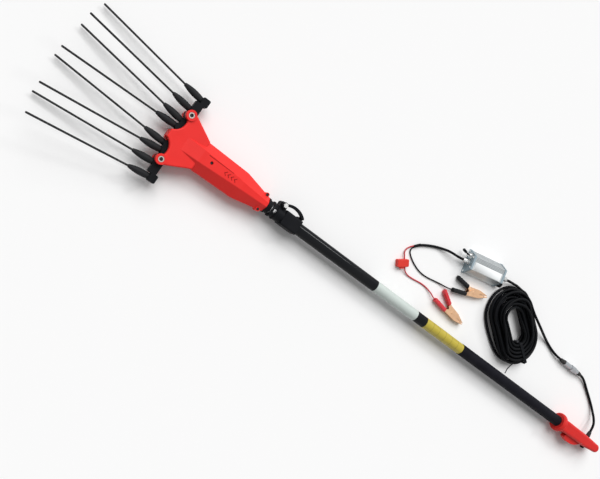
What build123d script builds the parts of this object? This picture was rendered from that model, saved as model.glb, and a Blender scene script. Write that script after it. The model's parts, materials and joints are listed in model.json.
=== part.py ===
from build123d import *
import os
from collections import namedtuple
from math import asin, atan2, cos, degrees, dist, hypot, radians, sin, tan

# Olive harvester: a telescopic pole with a two-handed rake at its front, a trigger handle at its rear,
# and a coiled lead to a converter box with battery clips. The tool lies flat on the floor, with the box
# and the lead beside it. X runs along the pole from the tines to the handle, Y points to the lead's side
# and Z is up. The origin is on the floor, under the middle of the tool. All lengths are in millimetres.

# Fits
RUNNING_FIT = 0.05
SEAT = 0.02
GAP = 0.6

# Pole
AXIS_HEIGHT = 28.0
POLE_RADIUS = 15.0
POLE_WALL = 1.4
INNER_RADIUS = 12.5
INNER_WALL = 1.5
POLE_BARE = 1037.0
GRIP_LENGTH = 443.0
GRIP_WALL = 0.9
EXTENSION = 600.0
LEAST_OVERLAP = 120.0

# Flip lock of the pole
NECK_LENGTH = 13.0
NECK_RADIUS = 19.0
NECK_STEP = 2.5
NECK_GAP = 3.0
LOCK_LENGTH = 82.0
LOCK_RADIUS = 18.0
LOCK_BAND = 1.5
LOCK_GUIDE = 16.0
FLANGE_WIDTH = 3.5
WINDOW_LENGTH = 8.0
WINDOW_HALF = 6.0
BLOCK_PLACE = 34.0
BLOCK_HALF = 18.7
BLOCK_RISE = 19.0
BLOCK_ROUND = 5.0
BLOCK_LUG_HALF = 8.5
BLOCK_LUG_OUT = 24.0
BLOCK_LUG_LENGTH = 11.0
LOCK_SLIT = 2.0
EAR_PLACE = 21.0
EAR_WIDTH = 20.0
EAR_THICKNESS = 9.0
LOCK_BOLT_RADIUS = 3.0
LOCK_BOLT_OFFSET = 24.0
LEVER_REACH = 55.0
LEVER_BOW = 9.0
LEVER_THICKNESS = 7.0
LEVER_HEIGHT = 8.0

# Hands of the rake: each tine's socket from the pivot, forwards and outwards, with its splay in degrees,
# from the outermost tine to the innermost
Socket = namedtuple("Socket", "forward outward splay")
SOCKETS = (
    Socket(0.0, 44.0, 8.0),
    Socket(10.0, 13.0, 4.9),
    Socket(12.0, -18.0, 7.7),
    Socket(16.0, -35.0, -3.3),
)
HIGH_ROW_TILT = 9.0
LOW_ROW_TILT = -4.0
PIVOT_SPREAD = 57.5
TINE_RADIUS = 2.3
TINE_EXPOSED = 226.0
TINE_INSERT = 13.0
BOOT_LENGTH = 47.0
BOOT_TIP_RADIUS = 3.7
BOOT_SWELL_RADIUS = 8.0
BOOT_ROOT_RADIUS = 6.8
SOCKET_RADIUS = 7.0
SOCKET_LENGTH = 15.0
ROCKER_HALF = 9.0
HUB_RADIUS = 11.5
ARM_FRONT = 7.0
ARM_BACK = 13.0
ELBOW_FRONT = 2.0
ELBOW_BACK = 20.0
ELBOW_HALF = 8.5
CRESCENT_WIDTH = 12.0
CRESCENT_DIP = 3.0
SWING = 7.0

# Drive inside the head
PIN_RADIUS = 3.0
HORN_BACK = 22.0
HORN_IN = 14.0
HORN_WIDTH = 14.0
HORN_THICKNESS = 2.7
ROD_THICKNESS = 5.0
ROD_SPACING = 2.0
ROD_WIDTH = 9.0
RING_WALL = 3.5
WEB_THICKNESS = 1.2
DISC_RADIUS = 11.0
DISC_THICKNESS = 4.5
CRANK_SHAFT_RADIUS = 5.0
CRANK_SHAFT_LENGTH = 5.4
GEARBOX_LENGTH = 42.0
GEARBOX_HALF = 15.0
GEARBOX_TOP = 17.0
MOTOR_RADIUS = 18.0
MOTOR_LENGTH = 76.0
RIB_THICKNESS = 3.0

# Housing of the head
PIVOT_TO_TAIL = 257.0
KINK_BACK = 67.0
SHOULDER_BACK = 181.0
RIDGE_BACK = 22.0
KINK_HALF = 36.0
SHOULDER_HALF = 34.0
TAIL_HALF = 18.0
RIDGE_TOP = 26.0
TAIL_TOP = 19.0
FAN_TOP = 20.0
FAN_BOTTOM = 22.0
SHELL_WALL = 3.0
FAN_ROUND = 3.0
BOSS_RADIUS = 12.0
BOSS_TOP = 24.0
BOSS_BOTTOM = 23.0
BELLY_TRIM = 0.3
NOSE_REACH = 18.0
NOSE_HALF = 9.5
POST_HALF = 7.0
SLOT_BACK = 9.0
ARM_ROOM = 25.0
TUBE_SOCKET = 52.0
LUG_RADIUS = 5.0
LUG_HALF = 12.0
LUG_BACK = 12.0

# Fasteners
BOLT_RADIUS = 4.0
BOLT_HEAD_RADIUS = 6.5
BOLT_HEAD_HEIGHT = 6.5
BOLT_HEX = 8.0
NUT_WIDTH = 13.0
NUT_HEIGHT = 6.5
BUSH_WALL = 3.0
SCREW_RADIUS = 1.75
SCREW_HEAD_RADIUS = 3.4
SCREW_HEAD_HEIGHT = 2.5
SCREW_LENGTH = 17.0
GEARBOX_SCREW_BACK = 94.0

# Decoration of the upper shell
GROOVE_DEPTH = 0.8
GROOVE_WIDTH = 2.0
GROOVE_LENGTH = 92.0
GROOVE_SIDE = 11.0
CHEVRON_COUNT = 4
CHEVRON_PITCH = 9.0
CHEVRON_HALF = 4.5

# Handle
HANDLE_LENGTH = 191.0
HANDLE_HALF = 18.5
HANDLE_TAIL_HALF = 13.0
HANDLE_THICKNESS = 40.0
HANDLE_ROUND = 8.0
HANDLE_WALL = 3.0
HANDLE_SOCKET = 34.0
SOCKET_STOP = 4.0
BEND_PLACE = 126.0
COLLAR_LENGTH = 22.0
COLLAR_SEAT = 18.0
COLLAR_RADIUS = AXIS_HEIGHT
TRIGGER_FRONT = 48.0
TRIGGER_PIN_PLACE = 113.0
TRIGGER_PIN_OFFSET = 13.0
TRIGGER_PIN_RADIUS = 2.0
TRIGGER_HALF = 8.0
TRIGGER_HUMP = 33.0
TRIGGER_HUB = 5.5
TRIGGER_SLOT_FLOOR = 6.5
BUTTON_PLACE = 142.0
BUTTON_RADIUS = 6.0
BUTTON_PROUD = 5.5
BUTTON_FLANGE = 8.0
GLAND_PLACE = 141.0
GLAND_RADIUS = 6.0
GLAND_LENGTH = 18.0
SWITCH_PLACE = 67.0
SWITCH_LENGTH = 30.0
SWITCH_DEPTH = 15.0
HANDLE_SCREW_SEAT = -12.0
HANDLE_BOSS = 5.0
COLLAR_SCREW_PLACE = 8.0
COLLAR_SCREW_SIDE = 22.0
MIDDLE_SCREW_PLACE = 107.0
MIDDLE_SCREW_SIDE = 7.0
TAIL_SCREW_BACK = 22.0

# Lead: diameters, and the places of what lies beside the pole, measured from the lock's rear edge
LEAD_DIAMETER = 7.6
BATTERY_LEAD_DIAMETER = 7.0
WIRE_DIAMETER = 3.4
CONNECTOR_RADIUS = 9.0
CONNECTOR_START = 950.0
CONNECTOR_LENGTH = 90.0
CONNECTOR_BOOT = 14.0
CONNECTOR_RING = 20.0
CONNECTOR_SIDE = 157.0
RING_FLUTES = 18
RING_FLUTE_DEPTH = 0.5
COIL_X = 719.9
COIL_Y = 144.1
COIL_ANGLE = -35.0
COIL_RUN = 84.0
COIL_OUTER = 68.0
COIL_TAPER = 0.3
COIL_PITCH = 8.4
COIL_LAYER = 8.2
COIL_TURNS = 5
COIL_LAYERS = 4
TIE_THICKNESS = 1.2
TIE_WIDTH = 8.0
BOX_X = 535.0
BOX_Y = 220.5
BOX_ANGLE = 12.0
BOX_LENGTH = 106.0
BOX_HALF = 32.5
BOX_TOP_HALF = 18.5
BOX_SIDE_HEIGHT = 5.0
BOX_HEIGHT = 32.0
BOX_WALL = 2.2
RIB_COUNT = 4
RIB_REACH = 0.8
RIB_GROOVE = 1.1
CAP_THICKNESS = 6.0
CAP_LIP = 1.0
CAP_SCREW_RADIUS = 1.2
CAP_SCREW_HEAD = 2.4
CAP_SCREW_HEIGHT = 1.4
CAP_SCREW_DEPTH = 5.0
CAP_SCREW_INSET = 4.5
FITTING_HEIGHT = 17.0
BOX_GLAND_RADIUS = 7.0
BOX_GLAND_LENGTH = 22.0
IN_GLAND_SIDE = -3.0
OUT_GLAND_SIDE = -2.0
TOGGLE_SIDE = 16.0
TOGGLE_BUSH_RADIUS = 5.5
TOGGLE_BUSH_LENGTH = 9.0
TOGGLE_LENGTH = 22.0
TOGGLE_RADIUS = 2.6
TOGGLE_LEAN = 20.0
KNOB_SIDE = -22.0
KNOB_HEIGHT = 14.5
KNOB_RADIUS = 9.0
KNOB_LENGTH = 12.0
KNOB_FLUTES = 16
FLUTE_RADIUS = 1.3
FLUTE_DEPTH = 0.7
FUSE_X = 310.0
FUSE_Y = 94.0
FUSE_ANGLE = 33.0
FUSE_LENGTH = 34.0
FUSE_WIDTH = 20.0
FUSE_HEIGHT = 13.0
CLIP_HALF = 6.5
CLIP_SHEET = 1.5
CLIP_DEPTH = 12.5
CLIP_INSIDE = 6.0
CLIP_ROOT = 11.0
JAW_DEPTH = 3.0
JAW_GAP = 0.5
JAW_TIP = 48.0
JAW_ROOT = 20.0
HANDLE_REAR = 66.0
FREE_REAR = 61.0
SPLAY = 0.38
CLIP_PIN_RADIUS = 2.5
TOOTH_COUNT = 6
TOOTH_PITCH = 3.6
TOOTH_DEPTH = 1.1
TIP_HOLE_RADIUS = 1.1
TIP_HOLE_BACK = 11.0
CLIP_SLEEVE_HALF = 7.5
CLIP_SLEEVE_PROUD = 2.2
RED_CLIP_X = 521.0
RED_CLIP_Y = 68.5
RED_CLIP_ANGLE = -9.2
BLACK_CLIP_X = 546.0
BLACK_CLIP_Y = 149.0
BLACK_CLIP_ANGLE = 17.5


# Directions and stations


def row_tilt(number, side):
    """Tilt of one tine: the rows alternate across the whole fan, from the right hand to the left."""
    odd = number % 2 == (0 if side > 0 else 1)
    return LOW_ROW_TILT if odd else HIGH_ROW_TILT


def tine_direction(number, side):
    """Unit vector from a tine's socket to its tip."""
    splay = radians(SOCKETS[number].splay)
    tilt = radians(row_tilt(number, side))
    return Vector(-cos(splay) * cos(tilt), side * sin(splay) * cos(tilt), sin(tilt))


FRONT_REACH = max(
    SOCKETS[number].forward - (BOOT_LENGTH + TINE_EXPOSED) * tine_direction(number, side).X
    for number in range(len(SOCKETS))
    for side in (1, -1)
)
LOCK_SPAN = NECK_LENGTH + NECK_GAP + LOCK_LENGTH
PIVOT_X = FRONT_REACH - (FRONT_REACH + PIVOT_TO_TAIL + LOCK_SPAN + POLE_BARE + HANDLE_LENGTH) / 2
TAIL_X = PIVOT_X + PIVOT_TO_TAIL
LOCK_X = TAIL_X + NECK_LENGTH + NECK_GAP
LOCK_END = LOCK_X + LOCK_LENGTH
COLLAR_X = LOCK_END + POLE_BARE
POLE_FRONT = LOCK_X + LOCK_GUIDE
SLOT_HALF = ROCKER_HALF + GAP
CRANK_X = PIVOT_X + HORN_BACK
GEARBOX_X = PIVOT_X + KINK_BACK
MOTOR_X = GEARBOX_X + GEARBOX_LENGTH


def level(height):
    """Horizontal plane at a height above or below the pole's axis."""
    return Plane.XY.offset(AXIS_HEIGHT + height)


def cross_plane(x):
    """Plane across the pole: its X is sideways, its Y is up, its origin is on the pole's axis."""
    return Plane(origin=(x, 0, AXIS_HEIGHT), x_dir=(0, 1, 0), z_dir=(1, 0, 0))


def spin_plane(origin, along):
    """Plane whose X is the axis of a turned piece and whose Y is its radius."""
    along = Vector(*along).normalized()
    beside = Vector(0, 0, 1) if abs(along.Z) < 0.7 else Vector(0, 1, 0)
    return Plane(origin=origin, x_dir=along, z_dir=along.cross(beside))


def turned(plane, *profile):
    """Solid turned about the plane's X axis from a closed profile of (station, radius) points."""
    with BuildPart() as piece:
        with BuildSketch(plane):
            with BuildLine():
                Polyline(*profile, close=True)
            make_face()
        revolve(axis=Axis(plane.origin, plane.x_dir))
    return piece.part


def rod(plane, start, end, radius):
    """Plain round bar along the plane's X axis."""
    return turned(plane, (start, 0), (start, radius), (end, radius), (end, 0))


def group(*parts):
    """Separate solids kept together as one node."""
    with BuildPart() as piece:
        for part in parts:
            add(part)
    return piece.part


pieces = {}
axis_line = spin_plane((0, 0, AXIS_HEIGHT), (1, 0, 0))


# Housing of the head: a ridged body that carries a flat fan with the two pivot bosses

Station = namedtuple("Station", "x ridge side side_height ridge_height")
UPPER_BODY = (
    Station(PIVOT_X + RIDGE_BACK, 16, 24, 5, FAN_TOP),
    Station(PIVOT_X + KINK_BACK, 15, KINK_HALF, 8, RIDGE_TOP),
    Station(PIVOT_X + SHOULDER_BACK, 9, SHOULDER_HALF, 8, RIDGE_TOP),
    Station(TAIL_X, 5, TAIL_HALF, 6, TAIL_TOP),
)
BELLY = AXIS_HEIGHT + BELLY_TRIM
LOWER_BODY = (
    Station(PIVOT_X + RIDGE_BACK, 18, 24, 5, FAN_BOTTOM),
    Station(PIVOT_X + KINK_BACK, 21, KINK_HALF, 8, BELLY),
    Station(PIVOT_X + SHOULDER_BACK, 19, SHOULDER_HALF, 8, BELLY),
    Station(TAIL_X, 8, TAIL_HALF, 6, TAIL_TOP),
)


def between(first, last, x):
    """Cross-section of the body at a place between two stations."""
    share = (x - first.x) / (last.x - first.x)
    return Station(*(a + (b - a) * share for a, b in zip(first, last)))


def inset(station, wall):
    """Cross-section of the hollow inside a station."""
    return Station(station.x, station.ridge - wall / 3, station.side - wall, station.side_height - wall / 3,
                   station.ridge_height - wall)


def half_section(station, sense):
    """Points of half a cross-section, from the parting plane over the ridge and down again."""
    corners = ((station.side, 0), (station.side, station.side_height), (station.ridge, station.ridge_height))
    right = [(y, sense * z) for y, z in corners]
    left = [(-y, z) for y, z in reversed(right)]
    return right + left


def fan_lines():
    """Outline of the fan: nose, scoop for the crescent, pivot boss and flank, on both sides."""
    kink = (PIVOT_X + KINK_BACK, KINK_HALF)
    away = hypot(KINK_BACK, PIVOT_SPREAD - KINK_HALF)
    lean = atan2(KINK_HALF - PIVOT_SPREAD, KINK_BACK) + radians(90) - asin(BOSS_RADIUS / away)
    touch = (PIVOT_X + BOSS_RADIUS * cos(lean), PIVOT_SPREAD + BOSS_RADIUS * sin(lean))
    nose = (PIVOT_X - NOSE_REACH, NOSE_HALF)
    scoop = (PIVOT_X, (NOSE_HALF + PIVOT_SPREAD - BOSS_RADIUS) / 2)
    Line((PIVOT_X - NOSE_REACH, 0), nose)
    ThreePointArc(nose, scoop, (PIVOT_X, PIVOT_SPREAD - BOSS_RADIUS))
    ThreePointArc((PIVOT_X, PIVOT_SPREAD - BOSS_RADIUS), (PIVOT_X - BOSS_RADIUS, PIVOT_SPREAD), touch)
    Line(touch, kink)
    Line(kink, (PIVOT_X + KINK_BACK, 0))
    mirror(about=Plane.XZ)


PIVOTS = ((PIVOT_X, PIVOT_SPREAD), (PIVOT_X, -PIVOT_SPREAD))
LUGS = ((TAIL_X - LUG_BACK, TAIL_HALF + 2), (TAIL_X - LUG_BACK, -TAIL_HALF - 2))
RIBS = (MOTOR_X + 16.0, MOTOR_X + MOTOR_LENGTH - 18.0)
HOLLOW_END = TAIL_X - TUBE_SOCKET - 4.0


def shell(sense, body, fan_height, boss_height):
    """One half of the housing; sense is 1 for the upper shell and -1 for the lower one."""
    hollow = [inset(body[0], SHELL_WALL), inset(body[1], SHELL_WALL), inset(body[2], SHELL_WALL),
              inset(between(body[2], body[3], HOLLOW_END), SHELL_WALL)]
    with BuildPart() as half:
        with BuildSketch(level(0)):
            with BuildLine():
                fan_lines()
            make_face()
        extrude(amount=sense * fan_height)
        rim = half.faces().sort_by(Axis.Z)[-1 if sense > 0 else 0]
        fillet(rim.edges(), radius=FAN_ROUND)
        for station in body:
            with BuildSketch(cross_plane(station.x)):
                Polygon(*half_section(station, sense), align=None)
        loft(ruled=True)
        with BuildSketch(level(0)):
            with Locations(*LUGS):
                Circle(LUG_RADIUS)
        extrude(amount=sense * LUG_HALF)
        for station in hollow:
            with BuildSketch(cross_plane(station.x)):
                Polygon(*half_section(station, sense), align=None)
        loft(ruled=True, mode=Mode.SUBTRACT)
        with BuildSketch(level(0)):
            with BuildLine():
                fan_lines()
            make_face()
            offset(amount=-SHELL_WALL)
            with Locations(*PIVOTS):
                Circle(BOSS_RADIUS, mode=Mode.SUBTRACT)
        extrude(amount=sense * (fan_height - SHELL_WALL), mode=Mode.SUBTRACT)
        for place in RIBS:
            with BuildSketch(cross_plane(place)):
                rib = inset(between(body[1], body[2], place), SHELL_WALL / 2)
                Polygon(*half_section(rib, sense), align=None)
            extrude(amount=RIB_THICKNESS)
        with BuildSketch(level(0)):
            with Locations(*PIVOTS):
                Circle(ARM_ROOM)
            with Locations((PIVOT_X + (SLOT_BACK - 2 * NOSE_REACH) / 2, 0)):
                Rectangle(SLOT_BACK + 2 * NOSE_REACH, 2 * PIVOT_SPREAD)
            with Locations((PIVOT_X - 2 * NOSE_REACH + (2 * NOSE_REACH - GAP) / 2, 0)):
                Rectangle(2 * NOSE_REACH - GAP, 2 * POST_HALF, mode=Mode.SUBTRACT)
        extrude(amount=sense * SLOT_HALF, mode=Mode.SUBTRACT)
        with BuildSketch(level(sense * SLOT_HALF)):
            with Locations(*PIVOTS):
                Circle(BOSS_RADIUS)
        extrude(amount=sense * (boss_height - SLOT_HALF))
        add(rod(axis_line, MOTOR_X, MOTOR_X + MOTOR_LENGTH, MOTOR_RADIUS + SEAT), mode=Mode.SUBTRACT)
        add(rod(axis_line, TAIL_X - TUBE_SOCKET, TAIL_X + GAP, INNER_RADIUS + SEAT), mode=Mode.SUBTRACT)
    return half.part


SCREW_SEAT = GEARBOX_TOP + 3.0
LUG_SEAT = LUG_HALF - SCREW_HEAD_HEIGHT - 0.5
GEARBOX_SCREW_X = PIVOT_X + GEARBOX_SCREW_BACK
CHEVRON_X = GEARBOX_SCREW_X + 36.0

upper_form = shell(1, UPPER_BODY, FAN_TOP, BOSS_TOP)
with BuildPart() as upper_housing:
    add(upper_form)
    with BuildSketch(level(GEARBOX_TOP)):
        with Locations((GEARBOX_SCREW_X, 0)):
            Circle(SCREW_HEAD_RADIUS + 2.5)
    extrude(amount=RIDGE_TOP - SHELL_WALL / 2 - GEARBOX_TOP)
    with Locations((GEARBOX_SCREW_X, 0, AXIS_HEIGHT + RIDGE_TOP)):
        CounterBoreHole(SCREW_RADIUS + 0.2, SCREW_HEAD_RADIUS + 0.4, RIDGE_TOP - SCREW_SEAT, RIDGE_TOP)
    with Locations(*(Location((x, y, AXIS_HEIGHT + LUG_HALF)) for x, y in LUGS)):
        CounterBoreHole(SCREW_RADIUS + 0.2, SCREW_HEAD_RADIUS + 0.3, LUG_HALF - LUG_SEAT, LUG_HALF)
    with Locations(*(Location((x, y, AXIS_HEIGHT + BOSS_TOP)) for x, y in PIVOTS)):
        CounterBoreHole(BOLT_RADIUS + 0.1, BOLT_HEAD_RADIUS + 0.6, BOLT_HEAD_HEIGHT + 0.5, BOSS_TOP)
    with BuildSketch(level(RIDGE_TOP)):
        with Locations((GEARBOX_SCREW_X + GROOVE_LENGTH / 2 - 14, GROOVE_SIDE)):
            SlotOverall(GROOVE_LENGTH, GROOVE_WIDTH)
        for number in range(CHEVRON_COUNT):
            tip = (CHEVRON_X + number * CHEVRON_PITCH, 0)
            for side in (1, -1):
                wing = (tip[0] + CHEVRON_HALF, side * CHEVRON_HALF)
                SlotCenterPoint(((tip[0] + wing[0]) / 2, wing[1] / 2), wing, GROOVE_WIDTH)
    extrude(amount=-GROOVE_DEPTH, mode=Mode.SUBTRACT)
pieces["upper_housing"] = upper_housing.part

lower_form = shell(-1, LOWER_BODY, FAN_BOTTOM, BOSS_BOTTOM)
NUT_SEAT = BOSS_BOTTOM - NUT_HEIGHT - 1.0
with BuildPart() as lower_housing:
    add(lower_form)
    with BuildSketch(level(-BOSS_BOTTOM)):
        with Locations(*PIVOTS):
            RegularPolygon(NUT_WIDTH / 2 + 0.15, 6, major_radius=False)
    extrude(amount=BOSS_BOTTOM - NUT_SEAT, mode=Mode.SUBTRACT)
    with BuildSketch(level(-BOSS_BOTTOM)):
        with Locations(*PIVOTS):
            Circle(BOLT_RADIUS + 0.1)
    extrude(amount=BOSS_BOTTOM, mode=Mode.SUBTRACT)
    with BuildSketch(level(0)):
        with Locations(*LUGS):
            Circle(SCREW_RADIUS + SEAT)
    extrude(amount=-(LUG_HALF - 1), mode=Mode.SUBTRACT)
    with BuildSketch(level(-AXIS_HEIGHT)):
        with Locations((PIVOT_X + PIVOT_TO_TAIL / 2, 0)):
            Rectangle(PIVOT_TO_TAIL, 2 * KINK_HALF)
    extrude(amount=-2 * BELLY_TRIM, mode=Mode.SUBTRACT)
pieces["lower_housing"] = lower_housing.part


# Drive: motor, closed right-angle gearbox, two-throw crank and connecting rods

motor_line = spin_plane((MOTOR_X, 0, AXIS_HEIGHT), (1, 0, 0))
pieces["motor"] = turned(
    motor_line, (0, 0), (0, MOTOR_RADIUS), (MOTOR_LENGTH - 3, MOTOR_RADIUS), (MOTOR_LENGTH, MOTOR_RADIUS - 3),
    (MOTOR_LENGTH, 6), (MOTOR_LENGTH + 4, 6), (MOTOR_LENGTH + 4, 0))

HORN_ARM = hypot(HORN_BACK, HORN_IN)
THROW = HORN_ARM * sin(radians(SWING))
RING_BORE = PIN_RADIUS + 2 * THROW + GAP
ROD_BASE = ROD_SPACING / 2
DISC_TOP = -(ROD_BASE + ROD_THICKNESS + 1.5)
FOOT_TOP = DISC_TOP - DISC_THICKNESS - GAP
FOOT_BOTTOM = -(FAN_BOTTOM - SHELL_WALL)

with BuildPart() as gearbox:
    with BuildSketch(level(FOOT_BOTTOM)):
        with Locations((CRANK_X, 0)):
            Circle(GEARBOX_HALF)
        with Locations(((CRANK_X + GEARBOX_X) / 2, 0)):
            Rectangle(GEARBOX_X - CRANK_X, 2 * GEARBOX_HALF)
    extrude(amount=FOOT_TOP - FOOT_BOTTOM)
    with BuildSketch(level(SHELL_WALL - BELLY)):
        with Locations((GEARBOX_X + GEARBOX_LENGTH / 2, 0)):
            RectangleRounded(GEARBOX_LENGTH, 2 * GEARBOX_HALF, 3)
    extrude(amount=BELLY - SHELL_WALL + GEARBOX_TOP)
    with Locations((CRANK_X, 0, AXIS_HEIGHT + FOOT_TOP)):
        Hole(CRANK_SHAFT_RADIUS + RUNNING_FIT, CRANK_SHAFT_LENGTH)
    with Locations((GEARBOX_SCREW_X, 0, AXIS_HEIGHT + GEARBOX_TOP)):
        Hole(SCREW_RADIUS + SEAT, SCREW_LENGTH)
pieces["gearbox"] = gearbox.part

with BuildPart() as crank:
    with BuildSketch(level(FOOT_TOP - CRANK_SHAFT_LENGTH + GAP)):
        with Locations((CRANK_X, 0)):
            Circle(CRANK_SHAFT_RADIUS)
    extrude(amount=CRANK_SHAFT_LENGTH)
    with BuildSketch(level(DISC_TOP - DISC_THICKNESS)):
        with Locations((CRANK_X, 0)):
            Circle(DISC_RADIUS)
    extrude(amount=DISC_THICKNESS)
    with BuildSketch(level(DISC_TOP)):
        with Locations((CRANK_X + THROW, 0)):
            Circle(PIN_RADIUS)
    extrude(amount=-DISC_TOP)
    with BuildSketch(level(-WEB_THICKNESS / 2)):
        with Locations((CRANK_X, 0)):
            SlotCenterToCenter(2 * THROW, 2 * PIN_RADIUS + 2)
    extrude(amount=WEB_THICKNESS)
    with BuildSketch(level(0)):
        with Locations((CRANK_X - THROW, 0)):
            Circle(PIN_RADIUS)
    extrude(amount=ROD_BASE + ROD_THICKNESS)
pieces["crank"] = crank.part


def connecting_rod(side):
    """Rod from the crank to one rocker's horn; the right hand's rod runs below the left hand's."""
    horn = (CRANK_X, side * (PIVOT_SPREAD - HORN_IN))
    base = -side * ROD_BASE
    with BuildPart() as piece:
        with BuildSketch(level(base)):
            with Locations((CRANK_X, 0)):
                Circle(RING_BORE + RING_WALL)
            with Locations(horn):
                Circle(ROD_WIDTH / 2 + 2)
            with Locations((CRANK_X, horn[1] / 2)):
                Rectangle(ROD_WIDTH, abs(horn[1]))
            with Locations((CRANK_X, 0)):
                Circle(RING_BORE, mode=Mode.SUBTRACT)
            with Locations(horn):
                Circle(PIN_RADIUS + RUNNING_FIT, mode=Mode.SUBTRACT)
        extrude(amount=-side * ROD_THICKNESS)
    return piece.part


pieces["right_rod"] = connecting_rod(1)
pieces["left_rod"] = connecting_rod(-1)


# Hands: rockers with their sockets, tines and boots


def socket_point(number, side):
    """Place where a tine leaves its socket."""
    socket = SOCKETS[number]
    return Vector(PIVOT_X - socket.forward, side * (PIVOT_SPREAD + socket.outward), AXIS_HEIGHT)


def tine_line(number, side):
    """Plane whose X is a tine's axis, from its socket to its tip."""
    return spin_plane(socket_point(number, side), tine_direction(number, side))


def rocker(side):
    """Swinging tine holder: hub, outer arm with its elbow, inner crescent, sockets and drive horn."""
    lines = [tine_line(number, side) for number in range(len(SOCKETS))]
    outer = SOCKETS[0].outward
    inner = SOCKETS[-1]
    horn = (PIVOT_X + HORN_BACK, side * (PIVOT_SPREAD - HORN_IN))
    pivot = (PIVOT_X, side * PIVOT_SPREAD)
    middle = (PIVOT_X - CRESCENT_DIP, side * (PIVOT_SPREAD + inner.outward * 0.6))
    end = (PIVOT_X - inner.forward + 8, side * (PIVOT_SPREAD + inner.outward - 1))
    crescent = ThreePointArc(pivot, middle, end)
    with BuildPart() as piece:
        with BuildSketch(level(-ROCKER_HALF)):
            with Locations(pivot):
                Circle(HUB_RADIUS)
            reach = outer - ELBOW_HALF
            with Locations((PIVOT_X + (ARM_BACK - ARM_FRONT) / 2, side * (PIVOT_SPREAD + reach / 2))):
                Rectangle(ARM_BACK + ARM_FRONT, reach)
            with Locations((PIVOT_X + (ELBOW_FRONT + ELBOW_BACK) / 2, side * (PIVOT_SPREAD + outer - 1))):
                RectangleRounded(ELBOW_BACK - ELBOW_FRONT, 2 * ELBOW_HALF + 2, 3)
            SlotArc(crescent, CRESCENT_WIDTH)
        extrude(amount=2 * ROCKER_HALF)
        for line in lines:
            add(rod(line, -SOCKET_LENGTH, 0, SOCKET_RADIUS))
        lug = -side * ROCKER_HALF
        with BuildSketch(level(lug)):
            lean = degrees(atan2(horn[1] - pivot[1], HORN_BACK))
            with Locations(((pivot[0] + horn[0]) / 2, (pivot[1] + horn[1]) / 2)):
                SlotCenterToCenter(HORN_ARM, HORN_WIDTH, rotation=lean)
        extrude(amount=side * HORN_THICKNESS)
        with BuildSketch(level(lug)):
            with Locations(horn):
                Circle(PIN_RADIUS)
        extrude(amount=side * (ROCKER_HALF - ROD_BASE))
        with BuildSketch(level(-ROCKER_HALF - GAP)):
            with Locations(pivot):
                Circle(BOLT_RADIUS + BUSH_WALL + 2 * RUNNING_FIT)
        extrude(amount=2 * SLOT_HALF, mode=Mode.SUBTRACT)
        for line in lines:
            add(rod(line, -TINE_INSERT, 1, TINE_RADIUS + SEAT), mode=Mode.SUBTRACT)
    return piece.part


def boots(side):
    """Four tapered sleeves on the tines' roots."""
    sleeves = []
    for number in range(len(SOCKETS)):
        line = tine_line(number, side)
        bore = TINE_RADIUS + SEAT
        with BuildPart() as sleeve:
            with BuildSketch(line):
                with BuildLine():
                    Polyline((BOOT_LENGTH, BOOT_TIP_RADIUS), (BOOT_LENGTH, bore), (0, bore),
                             (0, BOOT_ROOT_RADIUS))
                    Spline((0, BOOT_ROOT_RADIUS), (BOOT_LENGTH * 0.38, BOOT_SWELL_RADIUS),
                           (BOOT_LENGTH, BOOT_TIP_RADIUS))
                make_face()
            revolve(axis=Axis(line.origin, line.x_dir))
        sleeves.append(sleeve.part)
    return group(*sleeves)


for side, name in ((1, "right"), (-1, "left")):
    pieces[f"{name}_rocker"] = rocker(side)
    pieces[f"{name}_boots"] = boots(side)
    for number in range(len(SOCKETS)):
        line = tine_line(number, side)
        tip = BOOT_LENGTH + TINE_EXPOSED
        order = number + 1 if side > 0 else 2 * len(SOCKETS) - number
        pieces[f"tine_{order}"] = turned(
            line, (-TINE_INSERT, 0), (-TINE_INSERT, TINE_RADIUS), (tip - 1.5, TINE_RADIUS),
            (tip, TINE_RADIUS - 1), (tip, 0))


# Pivot hardware and housing screws


def pivot_bolt(place):
    """Socket-headed pivot bolt, seated in the upper boss."""
    seat = BOSS_TOP - BOLT_HEAD_HEIGHT - 0.5
    with BuildPart() as piece:
        with BuildSketch(level(seat)):
            with Locations(place):
                Circle(BOLT_HEAD_RADIUS)
                RegularPolygon(BOLT_HEX / 2, 6, major_radius=False, mode=Mode.SUBTRACT)
        extrude(amount=BOLT_HEAD_HEIGHT)
        with BuildSketch(level(seat)):
            with Locations(place):
                Circle(BOLT_HEAD_RADIUS)
        extrude(amount=2.5)
        with BuildSketch(level(-BOSS_BOTTOM + 0.7)):
            with Locations(place):
                Circle(BOLT_RADIUS)
        extrude(amount=seat + BOSS_BOTTOM - 0.7)
    return piece.part


def nut(place):
    """Hexagon nut in the pocket under the lower boss."""
    with BuildPart() as piece:
        with BuildSketch(level(-NUT_SEAT)):
            with Locations(place):
                RegularPolygon(NUT_WIDTH / 2, 6, major_radius=False)
                Circle(BOLT_RADIUS + SEAT, mode=Mode.SUBTRACT)
        extrude(amount=-NUT_HEIGHT)
    return piece.part


def bush(place):
    """Plain bearing bush between the bosses."""
    with BuildPart() as piece:
        with BuildSketch(level(-SLOT_HALF)):
            with Locations(place):
                Circle(BOLT_RADIUS + BUSH_WALL + RUNNING_FIT)
                Circle(BOLT_RADIUS + SEAT, mode=Mode.SUBTRACT)
        extrude(amount=2 * SLOT_HALF)
    return piece.part


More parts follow.
